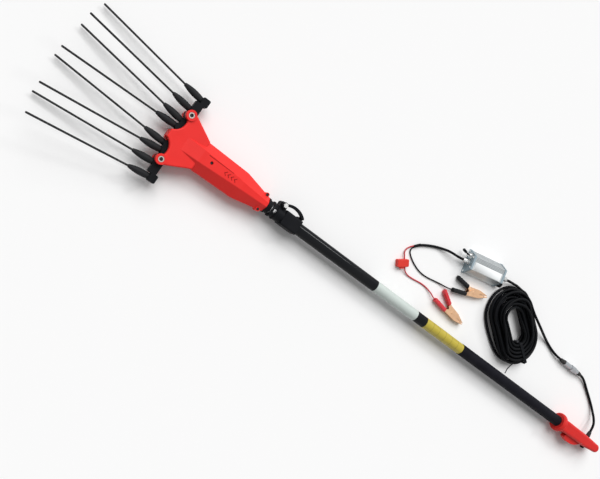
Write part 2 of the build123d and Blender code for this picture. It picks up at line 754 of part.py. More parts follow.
def screw(x, y, seat, way):
    """Pan-headed screw that points down from its seat, or up for a way of 1."""
    line = spin_plane((x, y, AXIS_HEIGHT + seat), (0, 0, way))
    return turned(line, (-SCREW_HEAD_HEIGHT, 0), (-SCREW_HEAD_HEIGHT, SCREW_HEAD_RADIUS - 0.8),
                  (-SCREW_HEAD_HEIGHT + 0.8, SCREW_HEAD_RADIUS), (0, SCREW_HEAD_RADIUS), (0, SCREW_RADIUS),
                  (SCREW_LENGTH, SCREW_RADIUS), (SCREW_LENGTH, 0))


pieces["pivot_bolts"] = group(*(pivot_bolt(place) for place in PIVOTS))
pieces["pivot_nuts"] = group(*(nut(place) for place in PIVOTS))
pieces["pivot_bushes"] = group(*(bush(place) for place in PIVOTS))
pieces["housing_screws"] = group(
    screw(GEARBOX_SCREW_X, 0, SCREW_SEAT, -1), *(screw(x, y, LUG_SEAT, -1) for x, y in LUGS))


# Telescopic pole with its flip lock


def tube(start, end, outer, inner):
    """Round tube on the pole's axis."""
    return turned(axis_line, (start, inner), (start, outer), (end, outer), (end, inner))


pieces["inner_tube"] = tube(
    TAIL_X - TUBE_SOCKET, POLE_FRONT + EXTENSION + LEAST_OVERLAP, INNER_RADIUS, INNER_RADIUS - INNER_WALL)
pieces["outer_tube"] = tube(POLE_FRONT, COLLAR_X + HANDLE_SOCKET, POLE_RADIUS, POLE_RADIUS - POLE_WALL)
pieces["grip_sleeve"] = tube(
    COLLAR_X - GRIP_LENGTH, COLLAR_X + COLLAR_SEAT, POLE_RADIUS + GRIP_WALL, POLE_RADIUS + SEAT)
pieces["neck_collar"] = turned(
    axis_line, (TAIL_X, INNER_RADIUS + SEAT), (TAIL_X, NECK_RADIUS),
    (TAIL_X + 0.4 * NECK_LENGTH, NECK_RADIUS), (TAIL_X + 0.5 * NECK_LENGTH, NECK_RADIUS - NECK_STEP),
    (TAIL_X + NECK_LENGTH, NECK_RADIUS - NECK_STEP), (TAIL_X + NECK_LENGTH, INNER_RADIUS + SEAT))

EAR_X = LOCK_X + EAR_PLACE
EAR_TOP = LOCK_SLIT / 2 + EAR_THICKNESS
EAR_EDGE = LOCK_BOLT_OFFSET + 7.0
LEVER_BASE = EAR_TOP + 0.4
LOCK_BOLT = (EAR_X, LOCK_BOLT_OFFSET)

WINDOW_X = LOCK_X + FLANGE_WIDTH + 0.5
WINDOW_END = WINDOW_X + WINDOW_LENGTH
BLOCK_X = LOCK_X + BLOCK_PLACE
FLANGE_RADIUS = LOCK_RADIUS + LOCK_BAND

with BuildPart() as clamp_body:
    add(turned(
        axis_line, (LOCK_X, 0), (LOCK_X, FLANGE_RADIUS), (WINDOW_X - 0.5, FLANGE_RADIUS),
        (WINDOW_X, LOCK_RADIUS - 1), (WINDOW_END, LOCK_RADIUS - 1), (WINDOW_END + 0.5, FLANGE_RADIUS),
        (WINDOW_END + FLANGE_WIDTH, FLANGE_RADIUS), (WINDOW_END + FLANGE_WIDTH + 1, LOCK_RADIUS),
        (LOCK_END - 1, LOCK_RADIUS), (LOCK_END, LOCK_RADIUS - 1), (LOCK_END, 0)))
    with BuildSketch(cross_plane(BLOCK_X)):
        RectangleRounded(2 * BLOCK_HALF, 2 * BLOCK_RISE, BLOCK_ROUND)
    extrude(amount=LOCK_LENGTH - BLOCK_PLACE - 1)
    with BuildSketch(level(-BLOCK_LUG_HALF)):
        with Locations((LOCK_END - 2 - BLOCK_LUG_LENGTH / 2, BLOCK_LUG_OUT / 2)):
            RectangleRounded(BLOCK_LUG_LENGTH, BLOCK_LUG_OUT, 2)
    extrude(amount=2 * BLOCK_LUG_HALF)
    for sense in (1, -1):
        with BuildSketch(level(sense * LOCK_SLIT / 2)):
            with Locations((EAR_X, EAR_EDGE / 2)):
                Rectangle(EAR_WIDTH, EAR_EDGE)
            fillet(vertices().group_by(Axis.Y)[-1], radius=5)
        extrude(amount=sense * EAR_THICKNESS)
    add(rod(axis_line, LOCK_X - 1, LOCK_END + 1, INNER_RADIUS + RUNNING_FIT), mode=Mode.SUBTRACT)
    add(rod(axis_line, POLE_FRONT, LOCK_END + 1, POLE_RADIUS + SEAT), mode=Mode.SUBTRACT)
    with BuildSketch(level(-LOCK_SLIT / 2)):
        with Locations((LOCK_X + (EAR_PLACE + EAR_WIDTH) / 2, LOCK_RADIUS)):
            Rectangle(EAR_PLACE + EAR_WIDTH, 2 * LOCK_RADIUS)
    extrude(amount=LOCK_SLIT, mode=Mode.SUBTRACT)
    with BuildSketch(level(-EAR_TOP)):
        with Locations(LOCK_BOLT):
            Circle(LOCK_BOLT_RADIUS + SEAT)
    extrude(amount=2 * EAR_TOP, mode=Mode.SUBTRACT)
    with BuildSketch(level(0)):
        with Locations(((WINDOW_X + WINDOW_END) / 2, 0)):
            RectangleRounded(WINDOW_LENGTH, 2 * WINDOW_HALF, 1)
    extrude(amount=2 * LOCK_RADIUS, mode=Mode.SUBTRACT)
pieces["clamp_body"] = clamp_body.part

lever_line = ThreePointArc(
    LOCK_BOLT, (EAR_X + LEVER_REACH / 2, LOCK_BOLT_OFFSET + LEVER_BOW),
    (EAR_X + LEVER_REACH, LOCK_BOLT_OFFSET - 1))
with BuildPart() as clamp_lever:
    with BuildSketch(level(LEVER_BASE)):
        SlotArc(lever_line, LEVER_THICKNESS)
        with Locations(LOCK_BOLT):
            Circle(LOCK_BOLT_RADIUS + 4.5)
    extrude(amount=LEVER_HEIGHT)
    fillet(clamp_lever.edges().group_by(Axis.Z)[-1], radius=1.5)
    with BuildSketch(level(LEVER_BASE)):
        with Locations(LOCK_BOLT):
            Circle(LOCK_BOLT_RADIUS + RUNNING_FIT)
    extrude(amount=LEVER_HEIGHT, mode=Mode.SUBTRACT)
pieces["clamp_lever"] = clamp_lever.part

with BuildPart() as lock_bolt:
    with BuildSketch(level(-EAR_TOP)):
        with Locations(LOCK_BOLT):
            RegularPolygon(1.7 * LOCK_BOLT_RADIUS, 6, major_radius=False)
    extrude(amount=-4)
    with BuildSketch(level(-EAR_TOP)):
        with Locations(LOCK_BOLT):
            Circle(LOCK_BOLT_RADIUS)
    extrude(amount=EAR_TOP + LEVER_BASE + LEVER_HEIGHT + 6)
with BuildPart() as lock_nut:
    with BuildSketch(level(LEVER_BASE + LEVER_HEIGHT + 0.4)):
        with Locations(LOCK_BOLT):
            RegularPolygon(1.7 * LOCK_BOLT_RADIUS, 6, major_radius=False)
            Circle(LOCK_BOLT_RADIUS + SEAT, mode=Mode.SUBTRACT)
    extrude(amount=4.5)
pieces["clamp_hardware"] = group(lock_bolt.part, lock_nut.part)


# Handle: two shells with a flared collar, trigger, switch and lock button

HALF_THICK = HANDLE_THICKNESS / 2
BEND_X = COLLAR_X + BEND_PLACE
LEFT_BEND = HANDLE_HALF - 2
RIGHT_BEND = HANDLE_HALF - 1
TAIL_ARC_X = COLLAR_X + HANDLE_LENGTH - HANDLE_TAIL_HALF
TRIGGER_PIN = (COLLAR_X + TRIGGER_PIN_PLACE, -TRIGGER_PIN_OFFSET)
PIN_DEPTH = HALF_THICK - HANDLE_WALL / 2
SLOT_FRONT = TRIGGER_FRONT - 8
SLOT_REAR = TRIGGER_PIN_PLACE + 9


def handle_lines():
    """Outline of the handle behind its collar."""
    front = COLLAR_X + COLLAR_LENGTH / 2
    left_tail = (TAIL_ARC_X, HANDLE_TAIL_HALF)
    right_tail = (TAIL_ARC_X, -HANDLE_TAIL_HALF)
    Polyline((front, HANDLE_HALF), (BEND_X, LEFT_BEND), left_tail)
    ThreePointArc(left_tail, (TAIL_ARC_X + HANDLE_TAIL_HALF, 0), right_tail)
    Polyline(right_tail, (BEND_X, -RIGHT_BEND), (front, -HANDLE_HALF), (front, HANDLE_HALF))


def flank(x, side):
    """Half width of the handle at a place behind its bend."""
    start = LEFT_BEND if side > 0 else RIGHT_BEND
    return start + (HANDLE_TAIL_HALF - start) * (x - BEND_X) / (TAIL_ARC_X - BEND_X)


BUTTON_X = COLLAR_X + BUTTON_PLACE
GLAND_X = COLLAR_X + GLAND_PLACE
button_line = spin_plane((BUTTON_X, -flank(BUTTON_X, -1), AXIS_HEIGHT), (0, 1, 0))
gland_line = spin_plane((GLAND_X, flank(GLAND_X, 1), AXIS_HEIGHT), (0, 1, 0))


BOSS_SCREWS = ((COLLAR_X + MIDDLE_SCREW_PLACE, MIDDLE_SCREW_SIDE),
               (COLLAR_X + HANDLE_LENGTH - TAIL_SCREW_BACK, 0))
HANDLE_SCREWS = BOSS_SCREWS + ((COLLAR_X + COLLAR_SCREW_PLACE, COLLAR_SCREW_SIDE),
                               (COLLAR_X + COLLAR_SCREW_PLACE, -COLLAR_SCREW_SIDE))


def handle_shell(sense):
    """One half of the handle; sense is 1 for the upper shell and -1 for the lower one."""
    with BuildPart() as half:
        with BuildSketch(level(0)):
            with BuildLine():
                handle_lines()
            make_face()
        extrude(amount=sense * HALF_THICK)
        rim = half.edges().group_by(Axis.Z)[-1 if sense > 0 else 0]
        fillet(rim, radius=HANDLE_ROUND)
        with BuildSketch(level(0)):
            with BuildLine():
                Polyline((COLLAR_X, 0), (COLLAR_X, COLLAR_RADIUS - 4), (COLLAR_X + 3, COLLAR_RADIUS - 0.6),
                         (COLLAR_X + 5, COLLAR_RADIUS), (COLLAR_X + 11, COLLAR_RADIUS),
                         (COLLAR_X + 14, COLLAR_RADIUS - 1.5), (COLLAR_X + COLLAR_LENGTH, HANDLE_HALF),
                         (COLLAR_X + COLLAR_LENGTH, 0), close=True)
            make_face()
        revolve(axis=Axis((0, 0, AXIS_HEIGHT), (1, 0, 0)), revolution_arc=sense * 180)
        with BuildSketch(level(0)):
            with BuildLine():
                handle_lines()
            make_face()
            offset(amount=-HANDLE_WALL)
            with Locations((COLLAR_X + (HANDLE_SOCKET + SOCKET_STOP) / 2, 0)):
                Rectangle(HANDLE_SOCKET + SOCKET_STOP, 4 * HANDLE_HALF, mode=Mode.SUBTRACT)
        extrude(amount=sense * (HALF_THICK - HANDLE_WALL), mode=Mode.SUBTRACT)
        add(rod(axis_line, COLLAR_X - 1, COLLAR_X + HANDLE_SOCKET, POLE_RADIUS + SEAT), mode=Mode.SUBTRACT)
        sleeve_seat = POLE_RADIUS + GRIP_WALL + SEAT
        add(rod(axis_line, COLLAR_X - 1, COLLAR_X + COLLAR_SEAT, sleeve_seat), mode=Mode.SUBTRACT)
        with BuildSketch(level(0)):
            with Locations((COLLAR_X + (SLOT_FRONT + SLOT_REAR) / 2, -TRIGGER_SLOT_FLOOR - HANDLE_HALF)):
                Rectangle(SLOT_REAR - SLOT_FRONT, 2 * HANDLE_HALF)
        extrude(amount=sense * (TRIGGER_HALF + GAP), mode=Mode.SUBTRACT)
        with BuildSketch(level(0)):
            with Locations(TRIGGER_PIN):
                Circle(TRIGGER_PIN_RADIUS + SEAT)
        extrude(amount=sense * PIN_DEPTH, mode=Mode.SUBTRACT)
        add(rod(button_line, -HANDLE_WALL, 2 * HANDLE_WALL, BUTTON_RADIUS + RUNNING_FIT), mode=Mode.SUBTRACT)
        add(rod(gland_line, -2 * HANDLE_WALL, 2 * HANDLE_WALL, GLAND_RADIUS + SEAT), mode=Mode.SUBTRACT)
        with BuildSketch(level(0)):
            with Locations(*BOSS_SCREWS):
                Circle(HANDLE_BOSS)
        extrude(amount=sense * (HALF_THICK - HANDLE_WALL / 2))
        with BuildSketch(level(HANDLE_SCREW_SEAT)):
            with Locations(*HANDLE_SCREWS):
                Circle(SCREW_RADIUS + SEAT)
        extrude(amount=SCREW_LENGTH + GAP, mode=Mode.SUBTRACT)
        if sense < 0:
            with BuildSketch(level(HANDLE_SCREW_SEAT)):
                with Locations(*HANDLE_SCREWS):
                    Circle(SCREW_HEAD_RADIUS + 0.4)
            extrude(amount=-AXIS_HEIGHT, mode=Mode.SUBTRACT)
    return half.part


pieces["handle_upper"] = handle_shell(1)
pieces["handle_lower"] = handle_shell(-1)
pieces["handle_screws"] = group(*(screw(x, y, HANDLE_SCREW_SEAT, 1) for x, y in HANDLE_SCREWS))

with BuildPart() as trigger:
    with BuildSketch(level(-TRIGGER_HALF)):
        front = COLLAR_X + TRIGGER_FRONT
        nose = (front, -TRIGGER_HUMP + 6)
        heel = (TRIGGER_PIN[0] + 6, TRIGGER_PIN[1] - 3)
        with BuildLine():
            ThreePointArc(nose, (front + 38, -TRIGGER_HUMP), heel)
            Polyline(heel, (TRIGGER_PIN[0] + 2, TRIGGER_PIN[1] + 4.5), (front + 40, -14), (front + 2, -19),
                     nose)
        make_face()
        with Locations(TRIGGER_PIN):
            Circle(TRIGGER_HUB)
            Circle(TRIGGER_PIN_RADIUS + RUNNING_FIT, mode=Mode.SUBTRACT)
    extrude(amount=2 * TRIGGER_HALF)
pieces["trigger"] = trigger.part

with BuildPart() as trigger_pin:
    with BuildSketch(level(-PIN_DEPTH)):
        with Locations(TRIGGER_PIN):
            Circle(TRIGGER_PIN_RADIUS)
    extrude(amount=2 * PIN_DEPTH)
pieces["trigger_pin"] = trigger_pin.part

with BuildPart() as switch_block:
    with BuildSketch(level(-HALF_THICK + HANDLE_WALL)):
        with Locations((COLLAR_X + SWITCH_PLACE + SWITCH_LENGTH / 2, SWITCH_DEPTH / 2 - 3)):
            Rectangle(SWITCH_LENGTH, SWITCH_DEPTH)
    extrude(amount=2 * (HALF_THICK - HANDLE_WALL))
    add(rod(spin_plane((COLLAR_X + SWITCH_PLACE + 8, -3, AXIS_HEIGHT), (0, -1, 0)), 0, 5, 2.5))
pieces["switch_block"] = switch_block.part

FLANGE_IN = HANDLE_WALL + 2 * GAP + 0.3
pieces["lock_button"] = turned(
    button_line, (-BUTTON_PROUD, 0), (-BUTTON_PROUD, BUTTON_RADIUS - 1.5),
    (-BUTTON_PROUD + 1.5, BUTTON_RADIUS), (FLANGE_IN, BUTTON_RADIUS), (FLANGE_IN, BUTTON_FLANGE),
    (FLANGE_IN + 2, BUTTON_FLANGE), (FLANGE_IN + 2, 0))
pieces["handle_gland"] = turned(
    gland_line, (-HANDLE_WALL - 1, 0), (-HANDLE_WALL - 1, GLAND_RADIUS), (4, GLAND_RADIUS),
    (GLAND_LENGTH - HANDLE_WALL, LEAD_DIAMETER / 2 + 0.8), (GLAND_LENGTH - HANDLE_WALL, 0))
GLAND_TIP = flank(GLAND_X, 1) + GLAND_LENGTH - HANDLE_WALL


# Lead: cords as tubes on runs and arcs, with the coil between two of them


def beside(x, y, z):
    """Point beside the pole, with its X measured from the lock's rear edge."""
    return Vector(LOCK_END + x, y, z)


def floor_plane(x, y, height, angle):
    """Horizontal plane beside the pole whose X axis is turned by an angle."""
    x_dir = (cos(radians(angle)), sin(radians(angle)), 0)
    return Plane(origin=beside(x, y, height), x_dir=x_dir, z_dir=(0, 0, 1))


def cord(name, diameter, *route):
    """Tube along a route whose corners are arcs as large as their runs allow."""
    radii = []
    for before, corner, after in zip(route, route[1:], route[2:]):
        turn = radians((corner - before).get_angle(after - corner))
        radii.append(0.45 * min((corner - before).length, (after - corner).length) / tan(turn / 2))
    with BuildPart() as piece:
        with BuildLine() as path:
            FilletPolyline(*route, radius=radii)
        way = path.wire()
        with BuildSketch(Plane(origin=way @ 0, z_dir=way % 0)) as section:
            Circle(diameter / 2)
        sweep()
    share = piece.part.volume / (section.sketch.area * way.length)
    tightest = min(radii) / diameter
    print(f"{name}: {way.length:.0f} mm, least radius {tightest:.1f} d, volume share {share:.4f}",
          [round(radius) for radius in radii])
    return piece.part


coil_u = Vector(cos(radians(COIL_ANGLE)), sin(radians(COIL_ANGLE)), 0)
coil_v = Vector(-sin(radians(COIL_ANGLE)), cos(radians(COIL_ANGLE)), 0)
COIL_BASE = LEAD_DIAMETER / 2 + TIE_THICKNESS + 0.2


def coil_point(along, across, height):
    """Point of the coil from its middle: along its runs, across them and up."""
    return beside(COIL_X, COIL_Y, height) + coil_u * along + coil_v * across


def half_run(radius):
    """Half of a loop's straight run: the inner loops are shorter."""
    return COIL_RUN / 2 - COIL_TAPER * (COIL_OUTER - radius)


def wind(radius, step, height, rise):
    """One loop: far bend, return run, near bend and outer run, which may climb to the next layer."""
    far = half_run(radius)
    near_radius = radius + step / 2
    near = half_run(near_radius)
    last = radius + step
    ThreePointArc(coil_point(far, radius, height), coil_point(far + radius, 0, height),
                  coil_point(far, -radius, height))
    Line(coil_point(far, -radius, height), coil_point(-near, -radius, height))
    ThreePointArc(coil_point(-near, -radius, height), coil_point(-near - near_radius, step / 2, height),
                  coil_point(-near, last, height))
    return coil_point(-near, last, height), coil_point(half_run(last), last, height + rise)


def climb(start, end):
    """S-bend along a run from one layer to the next."""
    middle = (start + end) / 2
    rising = TangentArc(start, middle, tangent=coil_u)
    TangentArc(middle, end, tangent=rising % 1)


COIL_INNER = COIL_OUTER - COIL_TURNS * COIL_PITCH
COIL_TOP = COIL_BASE + (COIL_LAYERS - 1) * COIL_LAYER
COIL_END = -half_run(COIL_OUTER - COIL_PITCH / 2)
with BuildPart() as cable_coil:
    with BuildLine() as coil_path:
        radius = COIL_OUTER
        Line(coil_point(-COIL_RUN / 2, COIL_OUTER, COIL_BASE),
             coil_point(COIL_RUN / 2, COIL_OUTER, COIL_BASE))
        for layer in range(COIL_LAYERS):
            step = -COIL_PITCH if layer % 2 == 0 else COIL_PITCH
            for turn in range(COIL_TURNS):
                ends_layer = turn == COIL_TURNS - 1
                ends_coil = ends_layer and layer == COIL_LAYERS - 1
                height = COIL_BASE + layer * COIL_LAYER
                start, end = wind(radius, step, height, COIL_LAYER if ends_layer else 0)
                if ends_layer and not ends_coil:
                    climb(start, end)
                elif not ends_coil:
                    Line(start, end)
                radius += step
    coil_way = coil_path.wire()
    with BuildSketch(Plane(origin=coil_way @ 0, z_dir=coil_way % 0)) as coil_section:
        Circle(LEAD_DIAMETER / 2)
    sweep()
pieces["cable_coil"] = cable_coil.part

STEPS = 1600
spots = [tuple(coil_way @ (number / STEPS)) for number in range(STEPS + 1)]
apart = int(4 * LEAD_DIAMETER / (coil_way.length / STEPS))
least = min(dist(a, b) for number, a in enumerate(spots) for b in spots[number + apart:])
share = cable_coil.part.volume / (coil_section.sketch.area * coil_way.length)
print(f"cable_coil: {coil_way.length:.0f} mm, least gap to itself {least - LEAD_DIAMETER:.2f} mm,",
      f"volume share {share:.4f}")

TIE_INNER = half_run(COIL_INNER) + COIL_INNER - LEAD_DIAMETER / 2 - 1.0
TIE_OUTER = COIL_RUN / 2 + COIL_OUTER + LEAD_DIAMETER / 2 + 1.0
TIE_TOP = COIL_TOP + LEAD_DIAMETER / 2 + 0.2
tie_plane = Plane(origin=coil_point(0, -TIE_WIDTH / 2, 0), x_dir=coil_u, z_dir=coil_v)
with BuildPart() as coil_tie:
    with BuildSketch(tie_plane):
        upright = 1 if tie_plane.y_dir.Z > 0 else -1
        with Locations(((TIE_INNER + TIE_OUTER) / 2, upright * (TIE_TOP + TIE_THICKNESS) / 2)):
            RectangleRounded(TIE_OUTER - TIE_INNER + 2 * TIE_THICKNESS, TIE_TOP + TIE_THICKNESS, 5)
        with Locations(((TIE_INNER + TIE_OUTER) / 2, upright * (TIE_TOP + TIE_THICKNESS) / 2)):
            RectangleRounded(TIE_OUTER - TIE_INNER, TIE_TOP - TIE_THICKNESS, 4, mode=Mode.SUBTRACT)
    extrude(amount=TIE_WIDTH)
pieces["coil_tie"] = coil_tie.part


# Converter box with its end caps, glands, toggle and knob

box_base = floor_plane(BOX_X, BOX_Y, 0, BOX_ANGLE)
box_along = box_base.x_dir


def box_point(along, side, height):
    """Point of the box from the middle of its base."""
    return box_base.from_local_coords(Vector(along, side, height))


def box_outline(grow):
    """Cross-section of the extrusion: flat base, upright sides and bevelled shoulders."""
    side = BOX_HALF + grow
    top = BOX_TOP_HALF + grow / 2
    Polyline((side, 0), (side, BOX_SIDE_HEIGHT), (top, BOX_HEIGHT + grow), (-top, BOX_HEIGHT + grow),
             (-side, BOX_SIDE_HEIGHT), (-side, 0), close=True)


def box_section(along):
    """Plane across the box: its X is the box's side direction and its Y is up."""
    return Plane(origin=box_point(along, 0, 0), x_dir=box_base.y_dir, z_dir=box_along)


BEVEL = Vector(BOX_HALF - BOX_TOP_HALF, BOX_SIDE_HEIGHT - BOX_HEIGHT)
with BuildPart() as box_body:
    with BuildSketch(box_section(-BOX_LENGTH / 2)):
        with BuildLine():
            box_outline(0)
        make_face()
        for number in range(RIB_COUNT):
            share = (number + 0.7) / (RIB_COUNT + 0.4)
            with Locations((BOX_TOP_HALF + BEVEL.X * share, BOX_HEIGHT + BEVEL.Y * share),
                           (BOX_TOP_HALF * (1 - RIB_REACH * share), BOX_HEIGHT)):
                Circle(RIB_GROOVE, mode=Mode.SUBTRACT)
        with Locations((0, CAP_LIP)):
            with BuildLine():
                box_outline(-BOX_WALL)
            make_face(mode=Mode.SUBTRACT)
    extrude(amount=BOX_LENGTH)
pieces["box_body"] = box_body.part

BOX_END = BOX_LENGTH / 2 + CAP_THICKNESS


def box_line(end, side, height):
    """Axis of a fitting that stands out of one end of the box."""
    return spin_plane(box_point(end * BOX_END, side, height), box_along * end)


low_corner = BOX_HALF - CAP_SCREW_INSET
high_corner = BOX_TOP_HALF - CAP_SCREW_INSET
CORNERS = ((low_corner, CAP_SCREW_INSET), (-low_corner, CAP_SCREW_INSET),
           (high_corner, BOX_HEIGHT - CAP_SCREW_INSET), (-high_corner, BOX_HEIGHT - CAP_SCREW_INSET))
caps = []
cap_screws = []
for end in (-1, 1):
    lines = [box_line(end, side, height) for side, height in CORNERS]
    with BuildPart() as cap:
        with BuildSketch(box_section(end * BOX_LENGTH / 2)):
            with BuildLine():
                box_outline(CAP_LIP)
            make_face()
        extrude(amount=end * CAP_THICKNESS)
        for line in lines:
            add(rod(line, -CAP_SCREW_DEPTH, 1, CAP_SCREW_RADIUS + SEAT), mode=Mode.SUBTRACT)
    caps.append(cap.part)
    for line in lines:
        cap_screws.append(turned(
            line, (CAP_SCREW_HEIGHT, 0), (CAP_SCREW_HEIGHT, CAP_SCREW_HEAD / 2), (0, CAP_SCREW_HEAD),
            (0, CAP_SCREW_RADIUS), (-CAP_SCREW_DEPTH, CAP_SCREW_RADIUS), (-CAP_SCREW_DEPTH, 0)))
pieces["box_end_caps"] = group(*caps)


def box_gland(line, cord_diameter):
    """Cable gland: hexagon-sized collar, dome nut and tapered boot."""
    return turned(line, (0, 0), (0, BOX_GLAND_RADIUS), (5, BOX_GLAND_RADIUS), (5, BOX_GLAND_RADIUS - 1),
                  (12, BOX_GLAND_RADIUS - 1), (15, BOX_GLAND_RADIUS - 2),
                  (BOX_GLAND_LENGTH, cord_diameter / 2 + 0.7), (BOX_GLAND_LENGTH, 0))


in_gland = box_line(1, IN_GLAND_SIDE, FITTING_HEIGHT)
out_gland = box_line(-1, OUT_GLAND_SIDE, FITTING_HEIGHT)
toggle_line = box_line(-1, TOGGLE_SIDE, FITTING_HEIGHT)
knob_line = box_line(1, KNOB_SIDE, KNOB_HEIGHT)
toggle_bush = turned(toggle_line, (0, 0), (0, TOGGLE_BUSH_RADIUS + 2), (3, TOGGLE_BUSH_RADIUS + 2),
                     (3, TOGGLE_BUSH_RADIUS), (TOGGLE_BUSH_LENGTH, TOGGLE_BUSH_RADIUS),
                     (TOGGLE_BUSH_LENGTH, 0))
pieces["box_fittings"] = group(
    box_gland(in_gland, LEAD_DIAMETER), box_gland(out_gland, BATTERY_LEAD_DIAMETER), toggle_bush, *cap_screws)

TOGGLE_PIVOT = toggle_line.origin + toggle_line.x_dir * (TOGGLE_BUSH_LENGTH + TOGGLE_RADIUS + GAP)
toggle_way = toggle_line.x_dir.rotate(Axis.Z, -TOGGLE_LEAN)
toggle_stem = spin_plane(TOGGLE_PIVOT, toggle_way)
pieces["toggle"] = turned(
    toggle_stem, (-TOGGLE_RADIUS, 0), (-TOGGLE_RADIUS * 0.7, TOGGLE_RADIUS * 0.7), (0, TOGGLE_RADIUS),
    (TOGGLE_LENGTH * 0.3, TOGGLE_RADIUS * 0.75), (TOGGLE_LENGTH * 0.45, TOGGLE_RADIUS * 1.5),
    (TOGGLE_LENGTH - 2, TOGGLE_RADIUS * 1.5), (TOGGLE_LENGTH, TOGGLE_RADIUS), (TOGGLE_LENGTH, 0))
knob_form = turned(
    knob_line, (GAP, 0), (GAP, KNOB_RADIUS - 2), (2, KNOB_RADIUS), (KNOB_LENGTH - 2, KNOB_RADIUS),
    (KNOB_LENGTH, KNOB_RADIUS - 2), (KNOB_LENGTH, 0))
with BuildPart() as box_knob:
    add(knob_form)
    with BuildSketch(Plane(origin=knob_line.origin, z_dir=knob_line.x_dir)):
        with PolarLocations(KNOB_RADIUS + FLUTE_RADIUS - FLUTE_DEPTH, KNOB_FLUTES):
            Circle(FLUTE_RADIUS)
    extrude(amount=KNOB_LENGTH + 1, mode=Mode.SUBTRACT)
pieces["box_knob"] = box_knob.part


# Inline connector: a plug and a socket with a coupling ring

connector_line = spin_plane(beside(CONNECTOR_START, CONNECTOR_SIDE, CONNECTOR_RADIUS), (1, 0, 0))
CONNECTOR_SPLIT = CONNECTOR_LENGTH / 2
CONNECTOR_BODY = CONNECTOR_RADIUS - 1.5
CONNECTOR_NECK = CONNECTOR_RADIUS - 3.0
CONNECTOR_TIP = LEAD_DIAMETER / 2 + 1.0
BOOT_END = CONNECTOR_LENGTH - CONNECTOR_BOOT
RING_END = CONNECTOR_SPLIT + CONNECTOR_RING
pieces["connector_socket"] = turned(
    connector_line, (0, 0), (0, CONNECTOR_TIP), (CONNECTOR_BOOT, CONNECTOR_NECK),
    (CONNECTOR_BOOT, CONNECTOR_BODY), (CONNECTOR_SPLIT, CONNECTOR_BODY), (CONNECTOR_SPLIT, 0))
plug_form = turned(
    connector_line, (CONNECTOR_SPLIT, 0), (CONNECTOR_SPLIT, CONNECTOR_RADIUS), (RING_END, CONNECTOR_RADIUS),
    (RING_END, CONNECTOR_BODY), (BOOT_END, CONNECTOR_BODY), (BOOT_END, CONNECTOR_NECK),
    (CONNECTOR_LENGTH, CONNECTOR_TIP), (CONNECTOR_LENGTH, 0))
ring_centre = connector_line.origin + connector_line.x_dir * CONNECTOR_SPLIT
with BuildPart() as connector_plug:
    add(plug_form)
    with BuildSketch(Plane(origin=ring_centre, x_dir=(0, 1, 0), z_dir=(1, 0, 0))):
        with PolarLocations(CONNECTOR_RADIUS + FLUTE_RADIUS - RING_FLUTE_DEPTH, RING_FLUTES):
            Circle(FLUTE_RADIUS)
    extrude(amount=CONNECTOR_RING, mode=Mode.SUBTRACT)
pieces["connector_plug"] = connector_plug.part


# Fuse holder and battery clips

fuse_base = floor_plane(FUSE_X, FUSE_Y, 0, FUSE_ANGLE)
with BuildPart() as fuse_holder:
    with BuildSketch(fuse_base):
        RectangleRounded(FUSE_LENGTH, FUSE_WIDTH, 3)
    extrude(amount=FUSE_HEIGHT)
    fillet(fuse_holder.edges().group_by(Axis.Z)[-1], radius=2)
    with BuildSketch(fuse_base.offset(FUSE_HEIGHT / 2 - 3)):
        with Locations((-2, -FUSE_WIDTH / 2 - 1.5)):
            RectangleRounded(12, 6, 1.5)
    extrude(amount=6)
pieces["fuse_holder"] = fuse_holder.part


def fuse_point(along, across, height):
    """Point on the fuse holder."""
    return fuse_base.from_local_coords(Vector(along, across, height))


